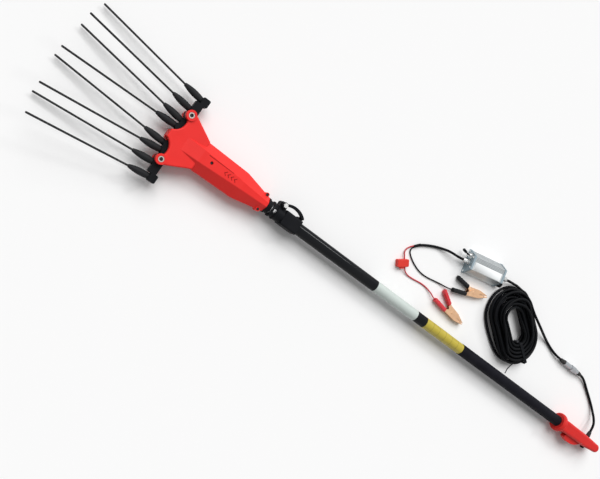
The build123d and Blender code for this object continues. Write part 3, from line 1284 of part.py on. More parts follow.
def clip_lever(plane, side, rear, splay, half, bore):
    """Pressed-sheet lever with a vinyl sleeve: jaw, pivot cheeks and handle; side -1 is the wired lever."""
    neck = 14
    grip = 22

    def handle(x, y):
        return (x, side * (y - splay * (x + neck)))

    outer = [(JAW_TIP, side * JAW_DEPTH), (JAW_ROOT, side * CLIP_ROOT), (-neck, side * CLIP_DEPTH),
             handle(-rear, CLIP_DEPTH)]
    teeth = []
    for number in range(TOOTH_COUNT, 0, -1):
        valley = JAW_TIP - (number - 0.5) * TOOTH_PITCH
        teeth += [(valley - TOOTH_PITCH / 2, side * JAW_GAP), (valley, side * (JAW_GAP + TOOTH_DEPTH))]
    inner = [handle(-rear, CLIP_INSIDE), handle(-grip, CLIP_INSIDE - 1), (-9, -side * 5), (0, -side * 7.5),
             (9, -side * 5), (JAW_ROOT, side * JAW_GAP), *teeth, (JAW_TIP, side * JAW_GAP)]
    hole_depth = JAW_DEPTH + (CLIP_ROOT - JAW_DEPTH) * TIP_HOLE_BACK / (JAW_TIP - JAW_ROOT)
    hole = (JAW_TIP - TIP_HOLE_BACK, side * (hole_depth + JAW_GAP + TOOTH_DEPTH) / 2)
    room = [(JAW_TIP + 2, side * (JAW_DEPTH - CLIP_SHEET)), (JAW_ROOT, side * (CLIP_ROOT - CLIP_SHEET)),
            (1 - grip, side * (CLIP_DEPTH - CLIP_SHEET)), (1 - grip, -side * JAW_ROOT),
            (JAW_TIP + 2, -side * JAW_ROOT)]
    wrap = CLIP_SLEEVE_PROUD
    sleeve = [handle(-grip, CLIP_DEPTH + wrap), handle(-rear, CLIP_DEPTH + wrap),
              handle(-rear, CLIP_INSIDE - wrap), handle(-grip, CLIP_INSIDE - 1 - wrap)]
    with BuildPart() as piece:
        with BuildSketch(plane.offset(-half)):
            Polygon(*outer, *inner, align=None)
        extrude(amount=2 * half)
        with BuildSketch(plane.offset(-half + CLIP_SHEET)):
            Polygon(*room, align=None)
        extrude(amount=2 * (half - CLIP_SHEET), mode=Mode.SUBTRACT)
        with BuildSketch(plane.offset(-CLIP_SLEEVE_HALF)):
            Polygon(*sleeve, align=None)
            fillet(vertices(), radius=3)
        extrude(amount=2 * CLIP_SLEEVE_HALF)
        with BuildSketch(plane.offset(-half)):
            Circle(CLIP_PIN_RADIUS + bore)
            with Locations(hole):
                Circle(TIP_HOLE_RADIUS)
        extrude(amount=2 * half, mode=Mode.SUBTRACT)
    return piece.part


red_clip = floor_plane(RED_CLIP_X, RED_CLIP_Y, CLIP_SLEEVE_HALF, RED_CLIP_ANGLE)
black_clip = floor_plane(BLACK_CLIP_X, BLACK_CLIP_Y, CLIP_SLEEVE_HALF, BLACK_CLIP_ANGLE)
INNER_CLIP_HALF = CLIP_HALF - CLIP_SHEET - 0.3
for name, plane in (("red", red_clip), ("black", black_clip)):
    pieces[f"{name}_fixed_jaw"] = clip_lever(plane, -1, HANDLE_REAR, 0.0, CLIP_HALF, SEAT)
    pieces[f"{name}_moving_jaw"] = clip_lever(plane, 1, FREE_REAR, SPLAY, INNER_CLIP_HALF, RUNNING_FIT)


def clip_pin(plane):
    """Riveted pivot pin of a clip."""
    line = spin_plane(plane.origin, (0, 0, 1))
    head = CLIP_PIN_RADIUS + 1.5
    return turned(line, (-CLIP_SLEEVE_HALF, 0), (-CLIP_SLEEVE_HALF, head - 1), (-CLIP_HALF, head),
                  (-CLIP_HALF, CLIP_PIN_RADIUS), (CLIP_HALF, CLIP_PIN_RADIUS), (CLIP_HALF, head),
                  (CLIP_SLEEVE_HALF, head - 1), (CLIP_SLEEVE_HALF, 0))


pieces["clip_pins"] = group(clip_pin(red_clip), clip_pin(black_clip))


def clip_entry(plane, back):
    """Point where a wire enters the sleeve of a clip's wired lever, or that far behind it."""
    return plane.from_local_coords(Vector(-HANDLE_REAR - back, -(CLIP_DEPTH + CLIP_INSIDE) / 2, 0))


# Routes of the cords, from the handle to the battery clips

split_end = beside(317, 151, BATTERY_LEAD_DIAMETER / 2 + 0.2)
SPLIT_WAY = Vector(-1, -1, 0).normalized()
SPLIT_SIDE = Vector(SPLIT_WAY.Y, -SPLIT_WAY.X, 0) * (WIRE_DIAMETER / 2 + 0.1)
pieces["tail_cord"] = cord(
    "tail_cord", LEAD_DIAMETER, Vector(GLAND_X, GLAND_TIP, AXIS_HEIGHT),
    Vector(GLAND_X, GLAND_TIP + 14, AXIS_HEIGHT), beside(1179.3, 60, 24.4), beside(1177.5, 76, 15.5),
    beside(1168, 91, 8), beside(1150, 107, 4.5),
    beside(1128, 121, 3.9), beside(1099, 137.5, 4.4), beside(1074, 151, 6.4),
    beside(CONNECTOR_START + CONNECTOR_LENGTH + 14, CONNECTOR_SIDE, CONNECTOR_RADIUS),
    beside(CONNECTOR_START + CONNECTOR_LENGTH, CONNECTOR_SIDE, CONNECTOR_RADIUS))
pieces["feed_cord"] = cord(
    "feed_cord", LEAD_DIAMETER, beside(CONNECTOR_START, CONNECTOR_SIDE, CONNECTOR_RADIUS),
    beside(CONNECTOR_START - 14, CONNECTOR_SIDE, CONNECTOR_RADIUS), beside(916, 159.6, 6.4),
    beside(893, 165.5, 4.2), beside(869, 173, 4.9), beside(843, 180, 10.5), beside(814, 187, 19.5),
    beside(784, 195, 27), beside(757, 204.8, COIL_TOP - 0.3),
    coil_point(COIL_END + 16, COIL_OUTER, COIL_TOP), coil_point(COIL_END, COIL_OUTER, COIL_TOP))
pieces["box_lead"] = cord(
    "box_lead", LEAD_DIAMETER, in_gland.origin + box_along * BOX_GLAND_LENGTH,
    in_gland.origin + box_along * (BOX_GLAND_LENGTH + 13), beside(648, 241, 10), beside(669, 244.5, 6),
    beside(690, 243, COIL_BASE),
    coil_point(-COIL_RUN / 2 - 19, COIL_OUTER, COIL_BASE), coil_point(-COIL_RUN / 2, COIL_OUTER, COIL_BASE))
pieces["battery_cord"] = cord(
    "battery_cord", BATTERY_LEAD_DIAMETER, out_gland.origin - box_along * BOX_GLAND_LENGTH,
    out_gland.origin - box_along * (BOX_GLAND_LENGTH + 14), beside(413, 197, 12.8), beside(395, 192.5, 6.8),
    beside(377, 186.5, 3.9), beside(359, 178.8, 3.6), beside(341, 169.5, 3.6), split_end - SPLIT_WAY * 12,
    split_end)
pieces["red_lead"] = cord(
    "red_lead", WIRE_DIAMETER, split_end + SPLIT_SIDE, split_end + SPLIT_SIDE + SPLIT_WAY * 8,
    beside(303.8, 139.0, 2.6), beside(299.6, 130.5, 2.2), beside(299, 121, 3.6),
    fuse_point(5, FUSE_WIDTH / 2 + 9, FUSE_HEIGHT / 2), fuse_point(5, FUSE_WIDTH / 2, FUSE_HEIGHT / 2))
pieces["black_lead"] = cord(
    "black_lead", WIRE_DIAMETER, split_end - SPLIT_SIDE, split_end - SPLIT_SIDE + SPLIT_WAY * 5.7,
    beside(312.2, 140.4, 2.8), beside(312.5, 134.7, 2.0), beside(315.1, 129.6, 1.8),
    beside(322.1, 123.9, 1.8),
    beside(333.4, 117.2, 1.8), beside(348, 111, 1.8), beside(364, 106, 1.8), beside(381, 103.8, 1.8),
    beside(398, 104.6, 1.8), beside(415, 107.4, 1.8), beside(431, 110.6, 2.0), beside(447, 113.3, 3.0),
    beside(463, 115.0, 5.2), clip_entry(black_clip, 11), clip_entry(black_clip, 0))
pieces["fuse_lead"] = cord(
    "fuse_lead", WIRE_DIAMETER, fuse_point(8, -FUSE_WIDTH / 2, FUSE_HEIGHT / 2),
    fuse_point(8, -FUSE_WIDTH / 2 - 8, FUSE_HEIGHT / 2), beside(335, 79.6, 4.2), beside(345.5, 77.4, 2.2),
    beside(359, 77.6, 1.8), beside(375, 79.6, 1.8), beside(391, 82.0, 1.8), beside(408, 82.8, 2.0),
    beside(424, 80.2, 3.2), beside(437, 76.4, 5.6), clip_entry(red_clip, 9), clip_entry(red_clip, 0))


os.makedirs("parts", exist_ok=True)
for name, part in pieces.items():
    part.label = name
    export_step(part, f"parts/{name}.step")
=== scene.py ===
"""Olive harvester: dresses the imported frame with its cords, finishes, labels and small fittings."""

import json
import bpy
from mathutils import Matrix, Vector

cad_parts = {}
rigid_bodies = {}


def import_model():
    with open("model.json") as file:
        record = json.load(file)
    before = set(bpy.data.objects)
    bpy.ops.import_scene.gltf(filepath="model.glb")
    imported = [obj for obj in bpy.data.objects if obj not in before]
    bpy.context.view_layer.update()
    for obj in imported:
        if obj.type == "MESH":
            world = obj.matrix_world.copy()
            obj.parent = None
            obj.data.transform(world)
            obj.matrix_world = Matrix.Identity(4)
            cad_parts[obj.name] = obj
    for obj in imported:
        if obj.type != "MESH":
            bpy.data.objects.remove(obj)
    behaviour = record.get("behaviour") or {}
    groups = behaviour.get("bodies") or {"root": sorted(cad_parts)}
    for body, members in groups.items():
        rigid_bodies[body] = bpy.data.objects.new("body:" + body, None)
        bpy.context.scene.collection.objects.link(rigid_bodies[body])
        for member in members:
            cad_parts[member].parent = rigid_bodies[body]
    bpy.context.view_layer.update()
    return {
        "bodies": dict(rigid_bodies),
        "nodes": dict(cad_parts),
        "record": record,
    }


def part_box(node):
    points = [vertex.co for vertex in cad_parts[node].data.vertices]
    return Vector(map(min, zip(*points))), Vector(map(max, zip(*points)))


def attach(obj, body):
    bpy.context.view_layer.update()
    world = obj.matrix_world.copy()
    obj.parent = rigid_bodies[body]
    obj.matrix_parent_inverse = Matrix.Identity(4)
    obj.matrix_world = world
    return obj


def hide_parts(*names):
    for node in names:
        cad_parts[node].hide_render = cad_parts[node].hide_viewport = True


bl_info = {
    "name": "Olive harvester",
    "version": (1, 1, 0),
    "blender": (4, 5, 0),
    "location": "3D View > Sidebar > Harvester",
    "description": "Cords, finishes and fittings for the packed frame of an olive harvester",
    "category": "Object",
}

from collections import namedtuple
from math import atan2, copysign, cos, hypot, pi, radians, sin, tan

import bmesh
import bpy
from bpy.props import FloatProperty, FloatVectorProperty, IntProperty, PointerProperty
from bpy.types import Operator, Panel, PropertyGroup
from mathutils import Matrix, Vector

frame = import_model()


# Places read from the frame, in metres

LOCK_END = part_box("clamp_body")[1].x
POLE_LOW, POLE_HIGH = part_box("outer_tube")
POLE_RADIUS = (POLE_HIGH.y - POLE_LOW.y) / 2
AXIS_HEIGHT = (POLE_HIGH.z + POLE_LOW.z) / 2
GLAND_LOW, GLAND_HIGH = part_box("handle_gland")
SOCKET_LOW, SOCKET_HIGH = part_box("connector_socket")
PLUG_LOW, PLUG_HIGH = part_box("connector_plug")
BOLTS_LOW, BOLTS_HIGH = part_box("pivot_bolts")


def beside(x, y, z):
    """Point beside the pole, with its x measured from the lock's rear edge."""
    return Vector((LOCK_END + x, y, z))


def floor_frame(x, y, height, angle):
    """Frame of a thing that lies beside the pole, turned about the vertical."""
    return Matrix.Translation(beside(x, y, height)) @ Matrix.Rotation(radians(angle), 4, "Z")


BOX_ANGLE = 12
BOX_FRAME = floor_frame(0.535, 0.2205, 0, BOX_ANGLE)
BOX_END = 0.059
BOX_TOP = 0.032
FITTING_HEIGHT = 0.017
GLAND_REACH = 0.022
FUSE_FRAME = floor_frame(0.310, 0.094, 0, 33)
RED_CLIP_FRAME = floor_frame(0.521, 0.0685, 0.0075, -9.2)
BLACK_CLIP_FRAME = floor_frame(0.546, 0.149, 0.0075, 17.5)
COIL_FRAME = floor_frame(0.7199, 0.1441, 0, -35)


def fitting(end, side):
    """Frame of a fitting on one end of the box, with its X axis outwards."""
    outwards = Matrix.Rotation(0 if end > 0 else pi, 4, "Z")
    return BOX_FRAME @ Matrix.Translation((end * BOX_END, side, FITTING_HEIGHT)) @ outwards


IN_GLAND = fitting(1, -0.003)
OUT_GLAND = fitting(-1, -0.002)
TOGGLE_BUSH = fitting(-1, 0.016)


# Sizes and colours that a user would change


def metres(name, description, default):
    """Property for a length in metres."""
    return FloatProperty(name=name, description=description, default=default, unit="LENGTH")


def tint(name, description, default):
    """Property for a colour."""
    return FloatVectorProperty(name=name, description=description, default=default, subtype="COLOR")


class HarvesterSizes(PropertyGroup):
    lead_diameter: metres("Lead", "Diameter of the supply lead", 0.0076)
    battery_lead_diameter: metres("Battery lead", "Diameter of the lead to the clips", 0.007)
    wire_diameter: metres("Wire", "Diameter of the clips' single wires", 0.0034)
    label_start: metres("White label from", "From the lock to the white label", 0.265)
    label_length: metres("White label", "Length of the white label", 0.148)
    band_start: metres("Yellow band from", "From the lock to the yellow band", 0.449)
    band_length: metres("Yellow band", "Length of the yellow band", 0.1455)
    relief_rings: IntProperty(
        name="Relief rings", description="Rings on each strain relief", default=4, min=2, max=8)
    sleeve_ridges: IntProperty(
        name="Sleeve ridges", description="Swells along each clip sleeve", default=4, min=1, max=9)


class HarvesterColours(PropertyGroup):
    red: tint("Red", "Moulded red of head and handle", (0.80, 0.03, 0.026))
    black: tint("Black", "Black nylon", (0.005, 0.0056, 0.0072))
    pole: tint("Pole", "Black coat of the pole", (0.003, 0.0038, 0.0052))
    label: tint("Label", "White label", (0.52, 0.58, 0.55))
    band: tint("Band", "Yellow band", (0.48, 0.385, 0.045))
    copper: tint("Copper", "Coppered clip jaws", (0.72, 0.45, 0.275))
    vinyl: tint("Vinyl", "Red vinyl of clip sleeves and fuse holder", (0.66, 0.035, 0.024))


# Node groups, and the two that the finishes share


def new_group(name, kind, inputs, outputs):
    """Empty group with its two end nodes, from sockets as (label, kind) or (label, kind, default)."""
    tree = bpy.data.node_groups.new(name, f"{kind}NodeTree")
    for way, sockets in (("INPUT", inputs), ("OUTPUT", outputs)):
        for label, value, *default in sockets:
            socket = tree.interface.new_socket(name=label, in_out=way, socket_type=f"NodeSocket{value}")
            if default:
                socket.default_value = default[0]
    return tree, tree.nodes.new("NodeGroupInput"), tree.nodes.new("NodeGroupOutput")


def calculated(tree, operation, *values):
    """Output of a math node, from sockets to link or numbers to set."""
    node = tree.nodes.new("ShaderNodeMath")
    node.operation = operation
    for value, socket in zip(values, node.inputs):
        if isinstance(value, bpy.types.NodeSocket):
            tree.links.new(value, socket)
        else:
            socket.default_value = value
    return node.outputs["Value"]


def mottle_group():
    """Cloudy mask for handling marks and uneven colour."""
    tree, source, sink = new_group(
        "mottle", "Shader", [("Vector", "Vector"), ("Scale", "Float", 30.0), ("Low", "Float", 0.0),
                             ("High", "Float", 1.0)], [("Mask", "Float")])
    add, join = tree.nodes.new, tree.links.new
    noise = add("ShaderNodeTexNoise")
    noise.inputs["Detail"].default_value = 5
    spread = add("ShaderNodeMapRange")
    spread.inputs["From Min"].default_value = 0.3
    spread.inputs["From Max"].default_value = 0.7
    join(source.outputs["Vector"], noise.inputs["Vector"])
    join(source.outputs["Scale"], noise.inputs["Scale"])
    join(noise.outputs["Fac"], spread.inputs["Value"])
    join(source.outputs["Low"], spread.inputs["To Min"])
    join(source.outputs["High"], spread.inputs["To Max"])
    join(spread.outputs["Result"], sink.inputs["Mask"])
    return tree


def grain_group():
    """Fine pebbled height of a moulded or coated surface."""
    tree, source, sink = new_group(
        "grain", "Shader", [("Vector", "Vector"), ("Scale", "Float", 900.0)], [("Height", "Float")])
    add, join = tree.nodes.new, tree.links.new
    pebble = add("ShaderNodeTexVoronoi")
    pebble.feature = "SMOOTH_F1"
    noise = add("ShaderNodeTexNoise")
    for texture in (pebble, noise):
        join(source.outputs["Vector"], texture.inputs["Vector"])
        join(source.outputs["Scale"], texture.inputs["Scale"])
    both = calculated(tree, "ADD", pebble.outputs["Distance"], noise.outputs["Fac"])
    join(both, sink.inputs["Height"])
    return tree


MOTTLE = mottle_group()
GRAIN = grain_group()
# How much finer the marks of a finish's gloss are than those of its colour
GLOSS_FINER = 2.3


class Finish:
    """A material in the making: its shader, its coordinates and the nodes that feed them."""

    def __init__(self, name, coordinates="Object", stretch=(1, 1, 1), angle=0):
        self.material = bpy.data.materials.new(name)
        self.material.use_nodes = True
        self.tree = self.material.node_tree
        self.tree.nodes.clear()
        self.shader = self.add("ShaderNodeBsdfPrincipled")
        output = self.add("ShaderNodeOutputMaterial")
        self.join(self.shader.outputs["BSDF"], output.inputs["Surface"])
        place = self.add("ShaderNodeTexCoord")
        mapping = self.add("ShaderNodeMapping")
        mapping.inputs["Scale"].default_value = stretch
        mapping.inputs["Rotation"].default_value = (0, 0, radians(-angle))
        self.join(place.outputs[coordinates], mapping.inputs["Vector"])
        self.place = mapping.outputs["Vector"]

    def add(self, kind):
        """New node of one kind."""
        return self.tree.nodes.new(kind)

    def join(self, output, socket):
        """Link from an output to an input."""
        self.tree.links.new(output, socket)

    def group(self, tree, **values):
        """Placed copy of a shared group, with its own values."""
        node = self.add("ShaderNodeGroup")
        node.node_tree = tree
        self.join(self.place, node.inputs["Vector"])
        for label, value in values.items():
            node.inputs[label].default_value = value
        return node

    def constant(self, **values):
        """Fixed values of the shader, with spaces of their names as underscores."""
        for label, value in values.items():
            self.shader.inputs[label.replace("_", " ")].default_value = value

    def colour(self, mask, first, second):
        """Base colour that goes from one tone to another along a mask."""
        mix = self.add("ShaderNodeMix")
        mix.data_type = "RGBA"
        mix.inputs["A"].default_value = (*first, 1)
        mix.inputs["B"].default_value = (*second, 1)
        self.join(mask, mix.inputs["Factor"])
        self.join(mix.outputs["Result"], self.shader.inputs["Base Color"])

    def bump(self, height, depth):
        """Bump of a depth in metres on the shader's normal."""
        node = self.add("ShaderNodeBump")
        node.inputs["Distance"].default_value = depth
        self.join(height, node.inputs["Height"])
        self.join(node.outputs["Normal"], self.shader.inputs["Normal"])

    def plain(self, tone, worn, rough, grain, depth, cloud):
        """Usual build-up: mottled colour and roughness over a fine grain."""
        marks = self.group(MOTTLE, Scale=cloud)
        self.colour(marks.outputs["Mask"], tone, worn)
        gloss = self.group(MOTTLE, Scale=GLOSS_FINER * cloud, Low=rough[0], High=rough[1])
        self.join(gloss.outputs["Mask"], self.shader.inputs["Roughness"])
        pebble = self.group(GRAIN, Scale=grain)
        self.bump(pebble.outputs["Height"], depth)
        return self.material


def lighter(tone, share):
    """Tone moved towards white by a share."""
    return tuple(value + (1 - value) * share for value in tone)


def darker(tone, share):
    """Tone moved towards black by a share."""
    return tuple(value * (1 - share) for value in tone)


# Finishes

# Streaks of drawn metal along X
DRAWN = {"stretch": (0.05, 1, 1), "cloud": 300.0}


def moulded(name, tone, worn, rough, specular, grain=1200):
    """Moulded plastic or rubber with a fine grain."""
    finish = Finish(name)
    finish.constant(Specular_IOR_Level=specular)
    return finish.plain(tone, worn, rough, grain, depth=0.00004, cloud=24)


def carbon_rod():
    """Pultruded rod: streaks along the tine."""
    finish = Finish("carbon_rod", stretch=(0.06, 1, 1))
    finish.constant(Specular_IOR_Level=0.15)
    return finish.plain((0.010, 0.0105, 0.011), (0.022, 0.023, 0.024), rough=(0.32, 0.46), grain=1500,
                        depth=0.00003, cloud=400)


def metal(name, tone, rough, stretch=(1, 1, 1), angle=0, cloud=120.0):
    """Plated, cast or drawn metal; a stretch below one draws its streaks out."""
    finish = Finish(name, stretch=stretch, angle=angle)
    finish.constant(Metallic=1.0)
    return finish.plain(tone, darker(tone, 0.15), rough, grain=2400, depth=0.00001, cloud=cloud)


def coated_pole(tone):
    """Glossy black coat with a thin clear layer and faint handling marks."""
    finish = Finish("coated_pole", stretch=(0.2, 1, 1))
    finish.constant(Specular_IOR_Level=0.02, Coat_Weight=0.2, Coat_Roughness=0.06)
    return finish.plain(tone, lighter(tone, 0.005), rough=(0.24, 0.36), grain=1600, depth=0.00001, cloud=40)


def label_film(name, tone, worn, stripe, stripes):
    """Film with plain stripes across the piece's own map, and wear."""
    finish = Finish(name, coordinates="UV")
    finish.constant(Specular_IOR_Level=0.3, Coat_Weight=0.15)
    parts = finish.add("ShaderNodeSeparateXYZ")
    finish.join(finish.place, parts.inputs["Vector"])
    repeat = calculated(finish.tree, "PINGPONG", parts.outputs["X"], 0.5 / stripes)
    line = calculated(finish.tree, "LESS_THAN", repeat, stripe)
    marks = finish.group(MOTTLE, Scale=5.0, Low=0.0, High=0.3)
    most = calculated(finish.tree, "MAXIMUM", line, marks.outputs["Mask"])
    finish.colour(most, tone, worn)
    gloss = finish.group(MOTTLE, Scale=9.0, Low=0.3, High=0.45)
    finish.join(gloss.outputs["Mask"], finish.shader.inputs["Roughness"])
    pebble = finish.group(GRAIN, Scale=120)
    finish.bump(pebble.outputs["Height"], depth=0.00001)
    return finish.material


class HARVESTER_OT_finishes(Operator):
    """Finishes of the object, and their use on each node that keeps its own solid"""

    bl_idname = "harvester.finishes"
    bl_label = "Finishes"

    def execute(self, context):
        colours = context.scene.harvester_colours
        red, black = tuple(colours.red), tuple(colours.black)
        vinyl, copper = tuple(colours.vinyl), tuple(colours.copper)
        label, band = tuple(colours.label), tuple(colours.band)

        # Moulded finishes: tone, worn tone, range of roughness, specular level and grain
        shell = moulded("moulded_red", red, darker(red, 0.07), (0.36, 0.48), 0.18, 1400)
        # Handle and trigger take the same red made darker: painted shade
        handle = moulded("handle_red_painted_shade", darker(red, 0.22), darker(red, 0.28), (0.36, 0.48), 0.15, 1400)
        nylon = moulded("black_nylon", black, lighter(black, 0.004), (0.4, 0.54), 0.06)
        rubber = moulded("boot_rubber", lighter(black, 0.008), lighter(black, 0.014), (0.5, 0.62), 0.1)
        sheath = moulded("cord_sheath", darker(black, 0.55), darker(black, 0.2), (0.38, 0.52), 0.06, 1500)
        wire = moulded("red_wire", (0.52, 0.03, 0.045), (0.44, 0.024, 0.036), (0.35, 0.5), 0.25, 1500)
        case = moulded("red_vinyl", vinyl, darker(vinyl, 0.1), (0.38, 0.5), 0.3, 900)
        moulded("black_vinyl", lighter(black, 0.004), lighter(black, 0.01), (0.38, 0.5), 0.12, 900)
        moulded("bare_plate", (0.84, 0.86, 0.86), (0.79, 0.81, 0.82), (0.35, 0.5), 0.25, 900)
        foam = moulded("grip_foam", (0.006, 0.006, 0.009), (0.010, 0.010, 0.014), (0.55, 0.7), 0.05, 700)
        # Darker red of the strips in the housing's grooves: painted shade
        moulded("red_groove_painted_shade", darker(red, 0.5), darker(red, 0.6), (0.5, 0.6), 0.1, 1400)

        # Metals: tone and range of roughness
        coppered = metal("coppered_steel", copper, (0.28, 0.42), cloud=110.0)
        dull = metal("dull_zinc", (0.42, 0.37, 0.34), (0.35, 0.5))
        metal("nickel_fitting", (0.54, 0.55, 0.55), (0.22, 0.36))
        steel = metal("zinc_steel", (0.72, 0.72, 0.71), (0.22, 0.36))
        # Blackened housing screws; the same dark metal gives the painted shade in the bolt sockets
        blackened = metal("blackened_screw_and_socket_shade", (0.03, 0.03, 0.032), (0.35, 0.5))
        cast = metal("cast_aluminium", (0.55, 0.55, 0.56), (0.45, 0.6))
        bronze = metal("sintered_bronze", (0.6, 0.42, 0.22), (0.4, 0.55))
        caps = metal("cast_cap", (0.30, 0.37, 0.41), (0.4, 0.52))
        coupling = metal("connector_alloy", (0.40, 0.42, 0.44), (0.24, 0.38))
        metal("groove_shade", (0.32, 0.34, 0.35), (0.5, 0.6), angle=BOX_ANGLE, **DRAWN)
        drawn = metal("drawn_tube", (0.58, 0.58, 0.59), (0.25, 0.38), **DRAWN)
        extruded = metal("box_extrusion", (0.53, 0.56, 0.57), (0.36, 0.5), angle=BOX_ANGLE, **DRAWN)

        label_film("white_film", label, darker(label, 0.12), stripe=0.004, stripes=1)
        label_film("yellow_film", band, darker(band, 0.35), stripe=0.006, stripes=6)
        finish_of_slot = {
            "red_shell": shell, "black_nylon": nylon, "boot_rubber": rubber, "carbon_rod": carbon_rod(),
            "zinc_steel": steel, "cast_aluminium": cast, "bronze_bush": bronze, "cap_silver": coupling,
            "black_pole": coated_pole(tuple(colours.pole)), "grip": foam, "bare_aluminium": drawn,
            "red_vinyl": case, "cord_black": sheath, "cord_red": wire, "red_clip": case, "black_clip": nylon,
        }
        special = {
            "housing_screws": blackened, "pivot_bolts": dull, "clip_pins": coppered, "box_body": extruded,
            "box_end_caps": caps, "handle_upper": handle, "handle_lower": handle, "trigger": handle,
        }
        for entry in frame["record"]["subparts"]:
            node = frame["nodes"][entry["node"]]
            material = special.get(entry["node"], finish_of_slot[entry["material_slot"]])
            node.data.materials.clear()
            node.data.materials.append(material)
        return {"FINISHED"}


# Mesh makers

# Chamfer of a nut as a share of its height, and its end faces as a share of its corners
NUT_CHAMFER = 0.12
NUT_FACE = 0.95


def keep(name, shape, finish, body, smooth=30):
    """Piece made from a bmesh, with its normals outwards, that rides on a body."""
    bmesh.ops.recalc_face_normals(shape, faces=shape.faces)
    mesh = bpy.data.meshes.new(name)
    shape.to_mesh(mesh)
    shape.free()
    mesh.materials.append(bpy.data.materials[finish])
    for face in mesh.polygons:
        face.use_smooth = True
    mesh.set_sharp_from_angle(angle=radians(smooth))
    piece = bpy.data.objects.new(name, mesh)
    bpy.context.scene.collection.objects.link(piece)
    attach(piece, body)
    return piece


def loft(shape, rings):
    """Closed skin over rings of points of equal count."""
    layers = [[shape.verts.new(point) for point in ring] for ring in rings]
    count = len(layers[0])
    shape.faces.new(list(reversed(layers[0])))
    shape.faces.new(layers[-1])
    for first, second in zip(layers, layers[1:]):
        for number in range(count):
            after = (number + 1) % count
            shape.faces.new((first[number], first[after], second[after], second[number]))


def lathe(shape, place, profile, sides=32):
    """Turned solid about a frame's X axis from (station, radius) points; six sides make a hexagon."""
    turns = [2 * pi * number / sides for number in range(sides)]
    loft(shape, [[place @ Vector((station, radius * cos(turn), radius * sin(turn))) for turn in turns]
                 for station, radius in profile])


def hexagon(shape, place, low, high, flats):
    """Nut or hexagon collar about a frame's X axis, given its width across flats."""
    corner = flats / 2 / cos(pi / 6)
    face = NUT_FACE * corner
    edge = NUT_CHAMFER * (high - low)
    lathe(shape, place, ((low, face), (low + edge, corner), (high - edge, corner), (high, face)), sides=6)


def along_x(origin, direction):
    """Frame whose X axis points along a direction."""
    return Matrix.Translation(origin) @ direction.to_track_quat("X", "Z").to_matrix().to_4x4()


# Strain-relief rings: one Geometry Nodes row, baked to a plain mesh where it is used

RING_STEPS = 24
WIRE_STEPS = 8


def ring_row():
    """Geometry group: a row of rings along X that shrink towards its end."""
    tree, source, sink = new_group(
        "ring_row", "Geometry", [("Count", "Int"), ("Pitch", "Float"), ("Radius", "Float"), ("Wire", "Float"),
                                 ("Shrink", "Float"), ("Material", "Material")], [("Geometry", "Geometry")])
    add, join, given = tree.nodes.new, tree.links.new, source.outputs
    step = add("ShaderNodeCombineXYZ")
    join(given["Pitch"], step.inputs["X"])
    row = add("GeometryNodeMeshLine")
    join(given["Count"], row.inputs["Count"])
    join(step.outputs["Vector"], row.inputs["Offset"])
    circle, section = add("GeometryNodeCurvePrimitiveCircle"), add("GeometryNodeCurvePrimitiveCircle")
    circle.inputs["Resolution"].default_value = RING_STEPS
    section.inputs["Resolution"].default_value = WIRE_STEPS
    join(given["Radius"], circle.inputs["Radius"])
    join(given["Wire"], section.inputs["Radius"])
    ring = add("GeometryNodeCurveToMesh")
    join(circle.outputs["Curve"], ring.inputs["Curve"])
    join(section.outputs["Curve"], ring.inputs["Profile Curve"])
    order = add("GeometryNodeInputIndex")
    loss = calculated(tree, "MULTIPLY", order.outputs["Index"], given["Shrink"])
    size = calculated(tree, "SUBTRACT", 1.0, loss)
    spread = add("GeometryNodeInstanceOnPoints")
    spread.inputs["Rotation"].default_value = (0, pi / 2, 0)
    join(row.outputs["Mesh"], spread.inputs["Points"])
    join(ring.outputs["Mesh"], spread.inputs["Instance"])
    join(size, spread.inputs["Scale"])
    real = add("GeometryNodeRealizeInstances")
    join(spread.outputs["Instances"], real.inputs["Geometry"])
    coat = add("GeometryNodeSetMaterial")
    join(real.outputs["Geometry"], coat.inputs["Geometry"])
    join(given["Material"], coat.inputs["Material"])
    join(coat.outputs["Geometry"], sink.inputs["Geometry"])
    return tree


RING_ROW = ring_row()


def add_rings(shape, place, **values):
    """Plain mesh of a ring row, added to a bmesh at a frame."""
    holder = bpy.data.objects.new("ring_row", bpy.data.meshes.new("ring_row"))
    bpy.context.scene.collection.objects.link(holder)
    row = holder.modifiers.new("ring_row", "NODES")
    row.node_group = RING_ROW
    for item in RING_ROW.interface.items_tree:
        if item.in_out == "INPUT":
            row[item.identifier] = values[item.name]
    made = bpy.data.meshes.new_from_object(holder.evaluated_get(bpy.context.evaluated_depsgraph_get()))
    bpy.data.objects.remove(holder)
    made.transform(place)
    shape.from_mesh(made)
    bpy.data.meshes.remove(made)


# Cords

COIL_RUN = 0.084
COIL_OUTER = 0.068
COIL_TAPER = 0.3
COIL_PITCH = 0.0084
COIL_LAYER = 0.0082
COIL_BASE = 0.0052
COIL_TURNS = 5
COIL_LAYERS = 4
COIL_TOP = COIL_BASE + (COIL_LAYERS - 1) * COIL_LAYER
COIL_MIDDLE = COIL_OUTER - COIL_TURNS * COIL_PITCH / 2
COIL_TIE = 0.084
BEND_ANGLES = (75, 45, 15, -15, -45, -75)
BEND_HALF_STEP = radians(15)

# How each layer has come loose away from the tie: its turn in degrees, its fanning, its slide along and the
# leans of its far and near sides
Slack = namedtuple("Slack", "turn fan slide far near")
SLACK = (Slack(-1.8, 0.10, -0.0070, 0.0098, -0.0020), Slack(0.7, 0.02, -0.0010, 0.0076, 0.0020),
         Slack(-0.6, 0.08, -0.0060, 0.0006, 0.0030), Slack(1.0, 0.02, 0.0020, -0.0003, 0.0030))

